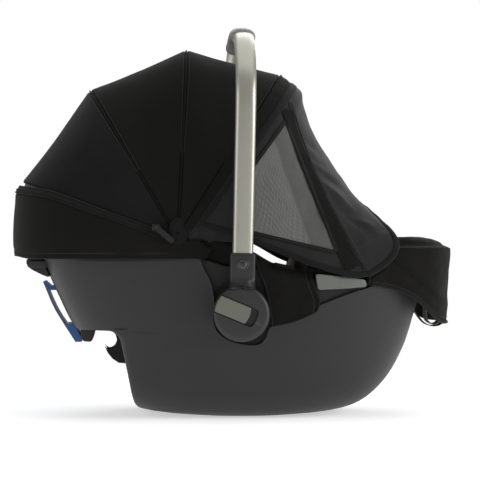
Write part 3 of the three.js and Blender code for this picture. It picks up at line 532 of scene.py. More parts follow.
# ---------------------------------------------------------------- bucket shapes
# Horizontal slices: height, rear end, front end, half width, squareness.
SHELL = [
    (0, -60, 84, 88, 2.8), (3.5, -108, 131, 108, 2.8), (9, -140, 164, 122, 2.8), (18, -160, 187, 134, 2.9),
    (34, -180, 208, 149, 3.0), (60, -200, 229.5, 163, 3.1), (96, -215, 248, 173, 3.2),
    (125, -231, 258, 178, 3.3), (146, -243, 264, 181.5, 3.3), (196, -266, 281, 187, 3.4),
    (240, -285, 300, 191, 3.4), (270, -290, 305, 193, 3.4),
]
CAVITY = [
    (62, 8, 64, 66, 2.6), (72, -16, 88, 92, 2.6), (88, -46, 112, 106, 2.7), (112, -84, 142, 118, 2.8),
    (140, -125, 172, 128, 2.9), (175, -172, 205, 136, 3.0), (210, -216, 236, 141, 3.1),
    (250, -262, 266, 143, 3.2), (272, -278, 278, 144, 3.2),
]
BOOT = [
    (118, -20, 307, 150, 3.2), (137, -20, 313, 158, 3.2), (180, -20, 315, 166, 3.2),
    (236, -20, 318.6, 174, 3.2), (243, -20, 315, 169, 3.1), (247, -20, 306, 150, 3.0),
]
RIM = np.array([
    (-330, 226), (-50, 226), (-14, 214), (24, 214), (60, 205), (110, 197), (180, 192), (205, 205),
    (235, 222), (330, 226),
], float)
PAD_TOP = np.array([
    (-330, 237), (-80, 240), (-68, 256), (-50, 262), (-30, 260), (-12, 253), (10, 242), (24, 233),
    (32, 226), (43, 220.5), (60, 216), (80, 213), (110, 208), (180, 205), (205, 217), (235, 234),
    (330, 237),
], float)
PAD_THICK = 14
HUB_X, HUB_Z, HUB_R = 3, 151, 39


def soft_profile(line, x, blur=9):
    """Height of a side view line at x, with its corners rounded."""
    offsets = np.linspace(-blur, blur, 9)
    return np.mean([np.interp(np.asarray(x, float) + d, line[:, 0], line[:, 1]) for d in offsets], 0)


def taper(x):
    return 1 - 0.12 * ease(x, 20, 300) - 0.06 * ease(-np.asarray(x, float), 60, 290)


class Bucket:
    """A bowl through horizontal slices."""

    def __init__(self, slices, inset=0.0):
        self.inset = inset
        self.table = smooth_line(slices)
        self.bottom, self.top = slices[0][0], slices[-1][0]

    def slice(self, z):
        """Rear end, front end, half width and squareness at a height."""
        span = self.top - self.bottom
        z = self.top - (self.top - z) * span / (span - self.inset)
        rear, front, half, n = [np.interp(z, self.table[:, 0], self.table[:, k]) for k in range(1, 5)]
        return rear + self.inset, front - self.inset, half - self.inset, n

    def side(self, x, z):
        """Half width at a place of the side view."""
        rear, front, half, n = self.slice(z)
        u = np.clip(np.abs((x - (rear + front) / 2) / ((front - rear) / 2)), 0, 1)
        return half * (1 - u**n) ** (1 / n) * taper(x)

    def half_slice(self, z, count):
        """Half a slice (x, y), from the middle of the foot end round to the middle of the head end."""
        rear, front, half, n = self.slice(z)
        a = np.linspace(0, np.pi, count)
        c, s = np.cos(a), np.sin(a)
        x = (rear + front) / 2 + (front - rear) / 2 * signed_power(c, 2 / n)
        return np.c_[x, half * np.abs(s) ** (2 / n) * taper(x)]

    def ring(self, z, count, stop=None, blur=7):
        """Half a slice as count points, evenly spaced on each side of its rear corner. stop cuts it off
        square at that x, with the corner rounded."""
        rear = self.slice(z)[0]
        line = self.half_slice(z, 500)
        x = line[:, 0]
        if stop is None or stop <= rear:
            corner = int(np.argmin(np.abs(x - (rear + 6))))
        else:
            y = float(np.interp(-stop, -x, line[:, 1]))
            line = np.r_[line[x > stop], [(stop, y), (stop, 0)]]
            at = lengths(line)
            fine = sample(line, at, np.arange(0, at[-1], 0.5))
            wide = int(2 * blur)
            padded = np.r_[2 * fine[:1] - fine[wide:0:-1], fine, fine[-2:-wide - 2:-1] * (1, -1)]
            kernel = np.ones(2 * wide + 1) / (2 * wide + 1)
            line = np.stack([np.convolve(padded[:, k], kernel, "valid") for k in (0, 1)], 1)
            line[0, 1] = line[-1, 1] = 0
            corner = int(np.argmin(np.abs(lengths(line) - at[-2])))
        first = int(count * 0.68)
        return np.r_[spaced(line[:corner + 1], first), spaced(line[corner:], count - first + 1)[1:]]


def whole(half):
    """A half ring and its mirror image, as one closed ring."""
    other = half[-2:0:-1].copy()
    other[:, 1] *= -1
    return np.r_[half, other]


RING_STEP = 2.0


def stack_of(ring, start, stop):
    """Rings at even heights, and a function that puts each point of a ring at a height of its own."""
    heights = np.arange(start, stop, RING_STEP)
    stack = np.array([ring(z) for z in heights])
    column = np.arange(stack.shape[1])

    def at(levels):
        k = np.clip((levels - heights[0]) / RING_STEP, 0, len(heights) - 1.001)
        low, part = k.astype(int), (k % 1)[:, None]
        return np.c_[stack[low, column] * (1 - part) + stack[low + 1, column] * part, levels]

    return stack, at


shell_shape, cavity_shape, boot_shape = Bucket(SHELL), Bucket(CAVITY, PAD_THICK), Bucket(BOOT)


# ---------------------------------------------------------------- moulded shell
STEP = np.array([(-9, -120), (4, -131), (8, -138), (19, -145), (32, -148.8), (76, -157), (108, -163.5)],
                float)
RECESS = [
    (-57, 234), (-50, 214), (-42, 199), (-36, 180), (-34, 160), (-36, 142), (-30, 125), (-17, 114),
    (0, 107.5),
    (18, 105), (31, 107), (40, 117), (47, 132), (80, 146), (118, 162), (145, 172.5), (172, 181.5),
    (196, 188),
    (198, 234),
]


def shell_rows():
    """The outside of the shell as rings, from its flat bottom up to its rolled edge."""
    rows = []
    count = 110
    for z in np.r_[0, 0.6, 1.6, 3.5, 6, 9, 13, 18, np.arange(24, 102, 6), 104]:
        stop = float(np.interp(z, STEP[:, 0], STEP[:, 1])) if z > 7 else None
        ring = whole(shell_shape.ring(z, count, stop))
        rows.append(np.c_[ring, np.full(len(ring), z)])
    # the roof of the step that the base's bar sits in
    shelf = [(-163.6, 108), (-165, 113), (-168, 118), (-172.5, 122), (-178.5, 124.5), (-186, 125),
             (-200, 125),
             (-214, 125), (-226, 125), (-234, 125.6)]
    for k, (stop, z) in enumerate(shelf):
        front_z = 104.5 + 21.5 * (k + 1) / len(shelf)
        ring = whole(shell_shape.ring(front_z, count, stop))
        rear = ease(ring[:, 0], -100, -158)
        height = front_z + (z - front_z) * rear
        level, moved = shell_shape.side(ring[:, 0], front_z), shell_shape.side(ring[:, 0], height)
        scale = np.where(level > 20, moved / np.maximum(level, 1), 1)
        rows.append(np.c_[ring[:, 0], ring[:, 1] * scale, height])
    stack, at = stack_of(lambda z: whole(shell_shape.ring(z, count)), 126, 236)
    rim = soft_profile(RIM, stack[-10, :, 0])
    for f in np.linspace(0.02, 1, 22):
        rows.append(at(127 + (rim - 127) * f))
    edge = rows[-1]
    inward = unit(np.c_[edge[:, 0] * 0.975, edge[:, 1] * 0.975, edge[:, 2]] - edge)
    # a rolled upper edge
    for d, h in ((0.5, 0.9), (1.6, 1.2), (2.7, 0.9), (3.3, 0)):
        rows.append(edge + inward * d + (0, 0, h))
    return np.array(rows)


def make_shell():
    grid = shell_rows()
    shell = grid_piece("shell_moulding", grid, "shell", wrap=True)
    bottom = bmesh.new()
    bottom.from_mesh(shell.data)
    bottom.verts.ensure_lookup_table()
    bottom.faces.new([bottom.verts[k] for k in range(grid.shape[1])])
    bmesh.ops.recalc_face_normals(bottom, faces=bottom.faces)
    bottom.to_mesh(shell.data)
    bottom.free()
    return shell


shell = make_shell()
shell_tree = tree_of(shell)
thicken(shell, 3.4)
bake(shell)
recess_line = smooth_line(RECESS[:-2], per=8)
cutters = [prism(f"recess_{word}", np.r_[recess_line, [(198, 190), (198, 234)]], side * 120, side * 260)
           for side, word in SIDES]
cutters += [prism(f"hook_slot_{word}", [(-190, 66), (-140, 66), (-140, 140), (-190, 140)],
                  side * 30 - 7.5, side * 30 + 7.5) for side, word in SIDES]
cut(shell, *cutters)
sharp(shell, 40)
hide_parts("shell")

lug = prism("shell_lug", [(-224, 130), (-221.4, 109.5), (-218, 106.4), (-209, 105.5), (-205.4, 108),
                          (-199.5, 130)], -60, 60)
bevel(lug, 1.6, 3)
for side, word in SIDES:
    ear = prism(f"release_ear_{word}", [(-295, 213.4), (-270, 213.4), (-270, 223.6), (-295, 223.6)],
                side * 70.8, side * 76.8)
    bevel(ear, 1.6, 3)
    bracket = prism(f"latch_bracket_{word}", [(-161, 98), (-140, 98), (-140, 122), (-161, 122)],
                    side * 41.2,
                    side * 46.8)
    bevel(bracket, 1.0)

# the set-back panel round each handle pivot
inner_wall = Bucket(SHELL, 5.2)
for side, word in SIDES:
    xs, zs = np.linspace(-62, 204, 90), np.linspace(0, 1, 44)
    panel = []
    for t in zs:
        top = soft_profile(RIM, xs) + 1
        z = 98 + (top - 98) * t
        y = np.array([inner_wall.side(x, h) for x, h in zip(xs, z)])
        dish = 2.2 * (1 - ease(np.hypot(xs - HUB_X, z - HUB_Z), 40, 50))
        panel.append(np.c_[xs, side * (y - dish), z])
    panel = grid_piece(f"pivot_panel_{word}", panel, "panel", away_from=(60, 0, 150), thick=3)
    mount = prism(f"pivot_boss_{word}", circle(HUB_X, HUB_Z, 35, 64), side * 172, side * 188.6, "panel")
    bevel(mount, 1.2)
    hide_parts(f"handle_mount_{word}")
    # the moulded lip round the panel
    points = [onto(shell_tree, x, z, side, -0.4, 176) for x, z in spaced(recess_line, 150)]
    path, ups = [np.array(part) for part in zip(*points)]
    cord_piece(f"recess_lip_{word}", path, 1.5, "shell", "seat", up=ups, flat=0.8)


# ---------------------------------------------------------------- carry handle
LEAN = math.radians(1.2)
LEG_Y, STRAIGHT, REACH = 207.5, 280, 402.2
GRIP = 95


def lean(points):
    """From the upright handle (x from the pivot, y, height above it) to its place."""
    p = np.asarray(points, float)
    x = HUB_X + p[..., 0] * math.cos(LEAN) + p[..., 2] * math.sin(LEAN)
    z = HUB_Z - p[..., 0] * math.sin(LEAN) + p[..., 2] * math.cos(LEAN)
    return np.stack([x, p[..., 1], z], -1)


def handle_path(start, count):
    a = np.linspace(0, np.pi, 200)
    c, s = np.cos(a), np.sin(a)
    p = 2 / 2.25
    arch = np.c_[np.zeros(200), -LEG_Y * signed_power(c, p), STRAIGHT + (REACH - STRAIGHT) * s**p]
    legs = np.linspace(start, STRAIGHT - 2, 30)
    right = np.c_[np.zeros(30), np.full(30, -LEG_Y), legs]
    return spaced(np.r_[right, arch, right[::-1] * (1, -1, 1)], count)


def tube_along(path, width, depth, sides):
    section = oval(width, depth, sides)
    return lean(sweep_grid(path, section[:, ::-1], (1, 0, 0)))


path = handle_path(HUB_R + 4, 220)
tube = grid_piece("handle_tube_bent", tube_along(path, 29, 17, 48), "handle_metal", "handle", wrap=True,
                  caps=True)
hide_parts("handle_tube")

grip_path = path[np.abs(path[:, 1]) < GRIP]
grip_path = spaced(grip_path, 90)
swell = np.sin(np.linspace(0, np.pi, 90)) ** 0.12
middle = tube_along(grip_path, 1, 1, 48).mean(1, keepdims=True)
grip_grid = tube_along(grip_path, 33.4, 21.4, 48)
grip_grid = middle + (grip_grid - middle) * (0.93 + 0.07 * swell)[:, None, None]
grip_grid += ripple(grip_grid, 26, 3)[..., None] * (grip_grid - middle) * 0.012
grip = grid_piece("handle_grip_wrap", grip_grid, "grip_leather", "handle", wrap=True, caps=True)
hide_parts("handle_grip")
for k, i in enumerate((2, 87)):
    cord_piece(f"grip_end_{k}", np.r_[grip_grid[i], grip_grid[i][:2]], 0.9, "grip_leather", "handle",
               up=(0, 1, 0.02))
under = int(np.argmin(grip_grid[45, :, 2]))
seam = grip_grid[:, under] - (0, 0, 0.3)
for k, shift in enumerate((-2.4, 2.4)):
    stitches(f"grip_stitch_{k}", seam + (shift, 0, 0), np.tile((0, 0, -1.0), (90, 1)), "light_thread",
             "handle", 3.4)
cord_piece("grip_seam", seam, 0.7, "grip_leather", "handle", up=(1, 0, 0))

# hub covers, sockets, screws and release buttons
TURN = math.radians(-22.5)


def turned(u, v):
    return HUB_X + u * math.cos(TURN) - v * math.sin(TURN), HUB_Z + u * math.sin(TURN) + v * math.cos(TURN)


def button_outline(shrink, end=9.0):
    radius, low, high = HUB_R - 0.8 - shrink, -11.6 + shrink, 13.2 - shrink
    v = np.linspace(low, high, 24)
    edge = np.c_[-np.sqrt(radius**2 - v**2), v]
    v = np.linspace(high, low, 18)
    other = np.c_[end - shrink + 2.4 * (1 - ((2 * v - low - high) / (high - low)) ** 2), v]
    return np.array([turned(a, b) for a, b in np.r_[edge, other]])


def lathe(name, profile, x, z, side, material, body, count=96):
    """A round form about an axis along Y: profile is (radius, y)."""
    profile = np.asarray(profile, float)
    a = np.linspace(0, 2 * np.pi, count, endpoint=False)
    grid = np.stack([
        x + profile[:, :1] * np.cos(a), np.repeat(side * profile[:, 1:], count, 1),
        z + profile[:, :1] * np.sin(a),
    ], -1)
    if side > 0:
        grid = grid[:, ::-1]
    return grid_piece(name, grid, material, body, wrap=True, caps=True)


for side, word in SIDES:
    disc = lathe(f"hub_disc_{word}", [
        (36.5, 189.6), (38.2, 190), (39, 191.4), (39, 213.2), (38.7, 214.6), (37.8, 216.2), (36.2, 217.9),
        (34, 218.8),
        (31, 219), (20, 219), (8, 219),
    ], HUB_X, HUB_Z, side, "trim", "handle", 120)
    pocket = np.array([turned(u, v) for u, v in smooth_line([
        (-44, -12.6), (-20, -12.6), (8, -12.6), (17.5, -12), (20.8, -8), (21.8, 0), (21.2, 9), (18.6, 13.6),
        (8, 14.2), (-20, 14.2), (-44, 14.2),
    ], per=6)])
    cut(disc, prism("pocket", pocket, side * 209.6, side * 232))
    sharp(disc, 30)
    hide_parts(f"hub_cover_{word}")
    bevel(disc, 0.5, 2, 40)
    button = prism(f"release_button_{word}", button_outline(0.5), side * 213.2, side * 220, "button",
                   f"handle_button_{word}")
    bevel(button, 1.5, 4, 40)
    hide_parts(f"handle_button_{word}")

    height = np.array([29.5, 30, 31.2, 34, 52, 70, 80, 82.6, 83.6, 84])
    shrink = np.array([0.8, 0.3, 0, 0, 0, 0, 0, 0.3, 1.0, 2.2])
    section = oval(1, 1, 64, 7)
    rings = []
    for h, d in zip(height, shrink):
        size = 1 + 0.05 * (1 - ease(h, 30, 60))
        rings.append(np.c_[section[:, 0] * (35 * size - 2 * d), section[:, 1] * (23 - 2 * d) + side * LEG_Y,
                           np.full(64, h)])
    for d in (6.6, 3.2):
        rings.append(np.c_[oval(1, 1, 64, 2.6) * (35 - d, 23 - d) + (0, side * LEG_Y),
                           np.full(64, 84 if d < 6 else 70)])
    rings[-2], rings[-1] = rings[-1], rings[-2]
    rings = np.array(rings)
    # the foot of the socket follows the round hub
    hub_top = np.sqrt(np.maximum(HUB_R**2 - rings[:3, :, 0] ** 2, 0))
    rings[:3, :, 2] = np.maximum(rings[:3, :, 2], hub_top + 0.6 - (2 - np.arange(3))[:, None] * 0.6)
    socket = grid_piece(f"handle_socket_moulded_{word}", lean(rings), "trim", "handle", wrap=True,
                        caps=False)
    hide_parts(f"handle_socket_{word}")

    x, z = lean(np.array([0, 0, 67.0]))[[0, 2]]
    lathe(f"screw_washer_{word}",
          [(10.6, 217.5), (10.6, 219), (10.2, 219.7), (9.4, 219.9), (8.9, 219.2), (8.7, 218)],
          x, z, side, "trim", "handle", 60)
    screw = lathe(f"screw_head_{word}", [
        (8.4, 217.5), (8.5, 219), (8.1, 219.9), (7.2, 220.3), (6.4, 220), (6.0, 219.2), (5.6, 219.4),
        (4.6, 220.5),
        (2.6, 220.8), (0.6, 220.8),
    ], x, z, side, "dark_steel", "handle", 60)
    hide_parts(f"handle_screw_{word}")


# ---------------------------------------------------------------- canopy
PIVOT_X, PIVOT_Z = -85, 256
# Bows from the rear to the front: angle above the feet direction, height of the arch, half width.
BOWS = {"rear": (160.3, 232.5, 173.2), "middle": (120.2, 243.5, 176), "top": (86.7, 270, 178.8),
        "front": (57, 278.5, 181.6)}


def arch(bow, t, grow=0.0):
    """Points of an arch that starts and ends on the pivot axis, t from 0 at the right to 1 at the left."""
    angle, reach, half = BOWS[bow]
    a = np.pi * np.asarray(t, float)
    c, s = np.cos(a), np.sin(a)
    p = 2 / 2.6
    r = (reach + grow) * s**p
    turn = math.radians(angle)
    return np.stack([PIVOT_X + r * math.cos(turn), -(half + grow) * signed_power(c, p),
                     PIVOT_Z + r * math.sin(turn)], -1)


AROUND = np.sort(np.r_[np.linspace(0.012, 0.988, 110), 0.002, 0.005, 0.008, 0.016, 0.022, 0.978, 0.984,
                       0.992, 0.995, 0.998])


def panel_grid(start, stop, sag, folds):
    rows = []
    shares = np.r_[0, 0.004, 0.012, 0.03, np.linspace(0.06, 0.94, 22), 0.97, 0.988, 0.996, 1]
    a, b = arch(start, AROUND, 6.3), arch(stop, AROUND, 6.3)
    middle = np.array([PIVOT_X, 0, PIVOT_Z])
    width = np.linalg.norm(a - b, axis=1)
    edge = 1.1 / np.maximum(width, 4)[:, None]
    for f in shares:
        line = a + (b - a) * (edge + (1 - 2 * edge) * f)
        out = unit(line - middle)
        reach = np.minimum(f, 1 - f) * width
        tuck = -2.6 * np.exp(-((reach / 1.6) ** 2))
        hollow = -sag * 4 * f * (1 - f) * np.minimum(1, width / 90)
        rows.append(line + out * (tuck + hollow)[:, None])
    grid = np.array(rows)
    out = unit(grid - middle)
    calm = np.minimum(1, np.sin(np.pi * shares) * 1.6)[:, None] * np.minimum(1, width / 70)
    return grid + out * (folds * (ripple(grid, 70, 5) * 1.4 + ripple(grid, 24, 9) * 0.35) * calm)[..., None]


def panel(name, start, stop, body_a, body_b, node, material, sag, area, flat):
    grid = panel_grid(start, stop, sag, 1.0)
    obj = grid_piece(name, grid, material, None, away_from=(PIVOT_X, 0, PIVOT_Z), thick=1.3)
    bake(obj)
    a, b = arch(start, 0.5, 6), arch(stop, 0.5, 6)
    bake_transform(obj)
    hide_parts(node)
    for bow, f, body in ((start, 0.035, body_a), (stop, 0.965, body_b)):
        line = arch(start, AROUND, 6.3) * (1 - f) + arch(stop, AROUND, 6.3) * f
        out = unit(line - (PIVOT_X, 0, PIVOT_Z))
        keep = slice(16, -16)
        stitches(f"{name}_stitch_{bow}", (line - out * 0.2)[keep], out[keep], "thread", body, 3.8,
                 (2.4, 0.7, 0.3))
    return obj


panel("canopy_cloth_rear", "rear", "middle", "seat", "canopy_middle", "canopy_panel_rear", "rear_fabric",
      2.0,
      0.072, (0.68, 0.17))
panel("canopy_cloth_middle", "middle", "top", "canopy_middle", "canopy_top", "canopy_panel_middle",
      "black_fabric", 1.0, 0.069, (0.72, 0.15))
panel("canopy_cloth_front", "top", "front", "canopy_top", "canopy_front", "canopy_panel_front",
      "black_fabric", 1.0, 0.068, (0.74, 0.15))
# piping along the two middle bows, and the binding along the front one
for bow, body, radius, grow in (("middle", "canopy_middle", 0.9, 5.6), ("top", "canopy_top", 0.9, 5.6),
                                ("front", "canopy_front", 1.2, 6.4)):
    cord_piece(f"canopy_piping_{bow}", arch(bow, AROUND, grow), radius, "black_fabric", body,
               up=(1, 0, 0.3), sides=10)
for bow in BOWS:
    node = NODES[f"canopy_bow_{bow}"]
    node.data.materials[0] = LOOKS["panel"]
    bevel(node, 0.5)

# the valance round the head end
SKIRT_HALF, SKIRT_REACH, SKIRT_FRONT, SKIRT_LOW = 187, 234, -37, 227
REAR_SLOPE = math.tan(math.radians(180 - BOWS["rear"][0]))


def skirt_plan(count, grow=0.0):
    a = np.linspace(0, np.pi, 300)
    c, s = np.cos(a), np.sin(a)
    p = 2 / 2.6
    line = np.c_[PIVOT_X - (SKIRT_REACH + grow) * s**p, (SKIRT_HALF + grow) * signed_power(c, p)]
    return spaced(np.r_[[(SKIRT_FRONT, SKIRT_HALF + grow)], line, [(SKIRT_FRONT, -SKIRT_HALF - grow)]],
                  count)


def skirt_top(x):
    """Height of the valance's upper edge, under the zip."""
    back = np.maximum(PIVOT_X - x, 0)
    droop = 4 * ease(back, 0, 30) + 9.5 * ease(back, 175, 238)
    return np.where(x < PIVOT_X, 253 + back * REAR_SLOPE - droop, 253 - 11 * ease(x, -60, SKIRT_FRONT))


def skirt_low(x):
    d = np.clip(x - (SKIRT_FRONT - 15), 0, 14.9)
    return SKIRT_LOW + 15 - np.sqrt(15**2 - d**2) + 3.6 * ease(-x, 292, 318)


plan = skirt_plan(260)
out = unit(np.gradient(plan, axis=0)[:, ::-1] * (-1, 1))
out *= np.sign((out * (plan - (-60, 0))).sum(1))[:, None]
rows = []
profile = [(0.0, -3.2), (0.0, -1.6), (0.004, 0.2), (0.02, 1.4), (0.05, 1.9), (0.075, 1.2), (0.1, 1.8)]
profile += [(f, 1.8 + 2.0 * math.sin(math.pi * min(1, f * 1.25)) - 2.2 * f**2)
            for f in np.linspace(0.15, 0.93, 14)]
profile += [(0.96, -0.4), (0.975, -1.5), (0.985, -0.4), (1.0, -0.9)]
for f, proud in profile:
    low, high = skirt_low(plan[:, 0]), skirt_top(plan[:, 0])
    z = low + (high - low) * f
    tall = np.clip((high - low) / 60, 0.15, 1)
    wave = ripple(np.c_[plan, z], 60, 2) * 1.2 * math.sin(math.pi * min(1, max(0, f)))
    rows.append(np.c_[plan + out * (np.minimum(proud, proud * tall + 0.6) + wave * tall)[:, None], z])
skirt = grid_piece("canopy_valance", rows, "black_fabric", "seat", away_from=(-60, 0, 250), thick=1.4)
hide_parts("canopy_skirt")
low_edge = np.c_[plan + out * 0.6, skirt_low(plan[:, 0]) + 0.2]
cord_piece("valance_piping", low_edge[2:-2], 1.1, "binding", "seat", up=(0, 0, 1), sides=8)
hem = np.c_[plan + out * 2.4, skirt_low(plan[:, 0]) + 7]
stitches("valance_stitch", hem[20:-20], np.c_[out, np.zeros(len(out))][20:-20], "thread", "seat", 3.8)

# the soft gusset sewn over each pivot
for side, word in SIDES:
    a = np.linspace(0, 2 * np.pi, 48, endpoint=False)
    rows = [np.c_[-84.5 + 12.5 * f * np.cos(a), np.full(48, side * (189.4 - 3.2 * f**4)),
                  263 + 21 * f * np.sin(a)]
            for f in np.linspace(0.06, 1, 14)]
    gusset = grid_piece(f"pivot_gusset_{word}", rows, "rear_fabric", "seat", away_from=(-84, 0, 263),
                        thick=1.0, wrap=True)

# the zip between the valance and the rear panel
keep = plan[:, 0] < PIVOT_X + 4
line = plan[keep]
normal = np.c_[out[keep], np.zeros(keep.sum())]
base = np.c_[line, skirt_top(line[:, 0])]
rise = np.linspace(-1, 9.5, 6)
lean_in = np.interp(rise, [-1, 9.5], [-0.4, 6.2])
tape = np.array([base + (0, 0, h) - normal * d for h, d in zip(rise, lean_in)])
tape_piece = grid_piece("zip_tape", tape, "binding", "seat", away_from=(-60, 0, 250), thick=0.8)
teeth = base + (0, 0, 3.4) - normal * -0.4
stitches("zip_teeth", teeth - normal * 2.4, normal, "panel", "seat", 1.9, (1.1, 3.0, 1.1))
for k, h in enumerate((-0.2, 7.4)):
    cord_piece(f"zip_edge_{k}", base + (0, 0, h) - normal * (0.2 if k == 0 else 5.4), 0.9, "black_fabric",
               "seat",
               up=(0, 0, 1), sides=8)

# the drape: arches that run from the front bow to the foot end. Each row is the foot of the arch
# (x, half width, z), its crown (x, z), its squareness and how far its flanks bulge forwards.
DRAPE = [
    (-76, 187.5, 264, 72, 488.5, 2.6, 0), (-52, 188.5, 272, 90.5, 479.5, 2.5, 0),
    (-15, 189, 262.5, 101.5, 470.5, 2.4, 0), (22, 189, 249, 104.7, 455, 2.3, 0),
    (58, 188, 235, 111.6, 433.5, 2.25, 0), (92, 187.5, 221, 124, 404.5, 2.2, 2),
    (124, 187, 211, 139.3, 375.5, 2.15, 6), (150, 186, 204, 155.3, 349.5, 2.1, 14),
    (168, 184, 201.5, 169, 330, 2.1, 25), (182, 181, 203.5, 185, 308.5, 2.1, 40),
]
WINDOW = np.array([(68.5, 421), (138, 235), (-3, 268.2), (-3, 324)], float)


def drape_grid(table, columns):
    a = np.pi * np.linspace(0, 1, columns)
    c, s = np.cos(a), np.sin(a)
    rows = []
    for foot_x, half, foot_z, crown_x, crown_z, squareness, bulge in table:
        p = 2 / squareness
        rise = s**p
        forward = bulge * np.sin(np.pi * np.clip(rise, 0, 1) ** 0.8).clip(0) ** 1.3
        rows.append(np.c_[foot_x + (crown_x - foot_x) * rise + forward, -half * signed_power(c, p),
                          foot_z + (crown_z - foot_z) * rise])
    return np.array(rows)


table = smooth_line(DRAPE[1:], per=9)
cloth = drape_grid(table, 211)
normals = outward(cloth)
along = np.linspace(0, 1, len(cloth))[:, None]
folds = ripple(cloth * (1, 0.5, 1), 34, 1) * 1.5 + ripple(cloth * (1.3, 0.4, 0.8), 15, 4) * 0.7
FOLDS = [
    ((91, 372), (142, 339), 4.5, 2.6), ((108, 361), (161, 316), 5, -2.4), ((112, 340), (150, 309), 4, 2.2),
    ((129, 323), (167, 292), 5, 2.8), ((140, 300), (186, 262), 6, -2.6), ((150, 290), (196, 268), 4.5, 2.2),
    ((164, 243), (190, 257), 3.5, 3.2), ((190, 257), (211, 263), 3.5, 2.8),
    ((160, 226), (182, 214), 4, -2.2),
    ((100, 392), (124, 380), 4.5, -1.8), ((88, 300), (62, 280), 7, 1.2), ((40, 340), (70, 300), 8, 1.0),
]


def crease(points):
    """Height of the drape's folds: soft ridges along lines of the side view."""
    height = np.zeros(points.shape[:2])
    flank = ease(np.abs(points[..., 1]), 60, 120)
    for start, end, width, tall in FOLDS:
        a, way = np.array(start, float), np.array(end, float) - start
        spot = points[..., ::2] - a
        t = np.clip((spot @ way) / (way @ way), 0, 1)
        gap = np.linalg.norm(spot - t[..., None] * way, axis=-1)
        height += tall * np.exp(-((gap / width) ** 2)) * np.sin(np.pi * (0.1 + 0.8 * t)) * flank
    return height


calm = ease(along, 0, 0.08)
hang = -3.5 * np.sin(np.pi * along) * ease(cloth[..., 2], 330, 440)
near_foot = 1 - ease((cloth[..., 2] - table[:, 2:3]) / (table[:, 4:5] - table[:, 2:3]), 0.02, 0.3)
lift = 6.5 * np.exp(-(((cloth[..., 0] - 38) / 30) ** 2)) * near_foot * (cloth[..., 1] > 0)
cloth = cloth + normals * (folds * calm + crease(cloth) + hang)[..., None]
cloth[..., 2] += lift

# the drape is whole here, as the ribbons are laid on it; its windows are cut out further down
drape = grid_piece("drape_cloth_sheet", cloth, "drape_cloth", "canopy_front", away_from=UNDER_CANOPY)
drape_tree = tree_of(drape)


def split_by_window(obj, keep_inside):
    """Cuts obj along the sides of the mesh window. keep_inside is the side whose window is kept, or 0 for
    all the rest."""
    shape = bmesh.new()
    shape.from_mesh(obj.data)
    corners = list(WINDOW)
    middle = WINDOW.mean(0)
    planes = []
    for a, b in zip(corners, corners[1:] + corners[:1]):
        n = np.array([b[1] - a[1], a[0] - b[0]])
        n = n if n @ (middle - a) > 0 else -n
        planes.append((a, n / np.linalg.norm(n)))
        geometry = [*shape.verts, *shape.edges, *shape.faces]
        bmesh.ops.bisect_plane(shape, geom=geometry, plane_co=(a[0] / 1000, 0, a[1] / 1000),
                               plane_no=(planes[-1][1][0], 0, planes[-1][1][1]))
    doomed = []
    for face in shape.faces:
        c = face.calc_center_median() * 1000
        inside = abs(c.y) > 60 and all((c.x - a[0]) * n[0] + (c.z - a[1]) * n[1] > 0 for a, n in planes)
        wanted = inside and c.y * keep_inside > 0 if keep_inside else not inside
        if not wanted:
            doomed.append(face)
    bmesh.ops.delete(shape, geom=doomed, context="FACES")
    shape.to_mesh(obj.data)
    shape.free()
    return obj


def fold_with_canopy(obj):
    """Turns the piece's modifiers into a mesh of its own."""
    bake(obj)
    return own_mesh(obj)


windows = []
for side, word in SIDES:
    copy = grid_piece(f"drape_window_{word}", cloth, "mesh_fabric", "canopy_front", away_from=UNDER_CANOPY)
    split_by_window(copy, side)
    windows.append(copy)
split_by_window(drape, 0)
thicken(drape, 1.1)

trims = []
for side, word in SIDES:
    corner_line = np.r_[WINDOW, WINDOW[:1]]
    straight = np.concatenate([np.linspace(a, b, 40, endpoint=False)
                               for a, b in zip(corner_line, corner_line[1:])])
    band, band_path, band_normals = ribbon(f"window_binding_{word}", drape_tree, straight, 5.5, side,
                                           "binding",
                                           "canopy_front", 0.7, 1.0, closed=True, count=150, straight=True)
    trims.append(band)
    trims.append(stitches(f"window_stitch_{word}", band_path + band_normals * 0.7, band_normals, "thread",
                          "canopy_front", 3.6, (2.2, 0.6, 0.3)))
    seam_line = [(74, 450), (83, 418), (93, 386), (107, 348), (122, 312), (140, 275), (160, 236),
                 (176, 209)]
    band_line = [(71, 440), (76, 424), (84, 396), (97, 360), (112, 322), (127, 286), (142, 250),
                 (152, 229), (160, 213)]
    panel_band, _, _ = ribbon(f"drape_band_{word}", drape_tree, band_line, 23, side, "black_fabric",
                              "canopy_front",
                              0.45, 0.5, count=80)
    trims.append(panel_band)
    for k, shift in enumerate((0.0, 4.2)):
        tape, tape_path, tape_normals = ribbon(
            f"drape_seam_{k}_{word}", drape_tree, np.array(seam_line) + (shift, 0), 1.8 - 0.4 * k, side,
            "binding",
            "canopy_front", 0.6, 1.2, count=70)
        trims.append(tape)
        trims.append(stitches(f"drape_seam_stitch_{k}_{word}", tape_path + tape_normals * 0.3 + (3.2, 0, 1),
                              tape_normals, "thread", "canopy_front", 3.6, (2.2, 0.6, 0.3)))


def bound_edge(name, path, radius, flat, up):
    """Folded tape over the edge of the cloth."""
    body = cord_piece(name, path, radius, "binding", "canopy_front", up=up, sides=14, flat=flat)
    trims.append(body)
    return body


last = cloth[-1]
bound_edge("drape_front_binding", last, 4.6, 0.42, outward(cloth)[-1])
for index, word in ((0, "right"), (-1, "left")):
    foot = cloth[:, index].copy()
    foot = smooth_line(spaced(foot, 18), per=6)
    bound_edge(f"drape_side_binding_{word}", foot + (0, 0, 3.2), 4.6, 0.42, (0, 1 if index else -1, 0.05))

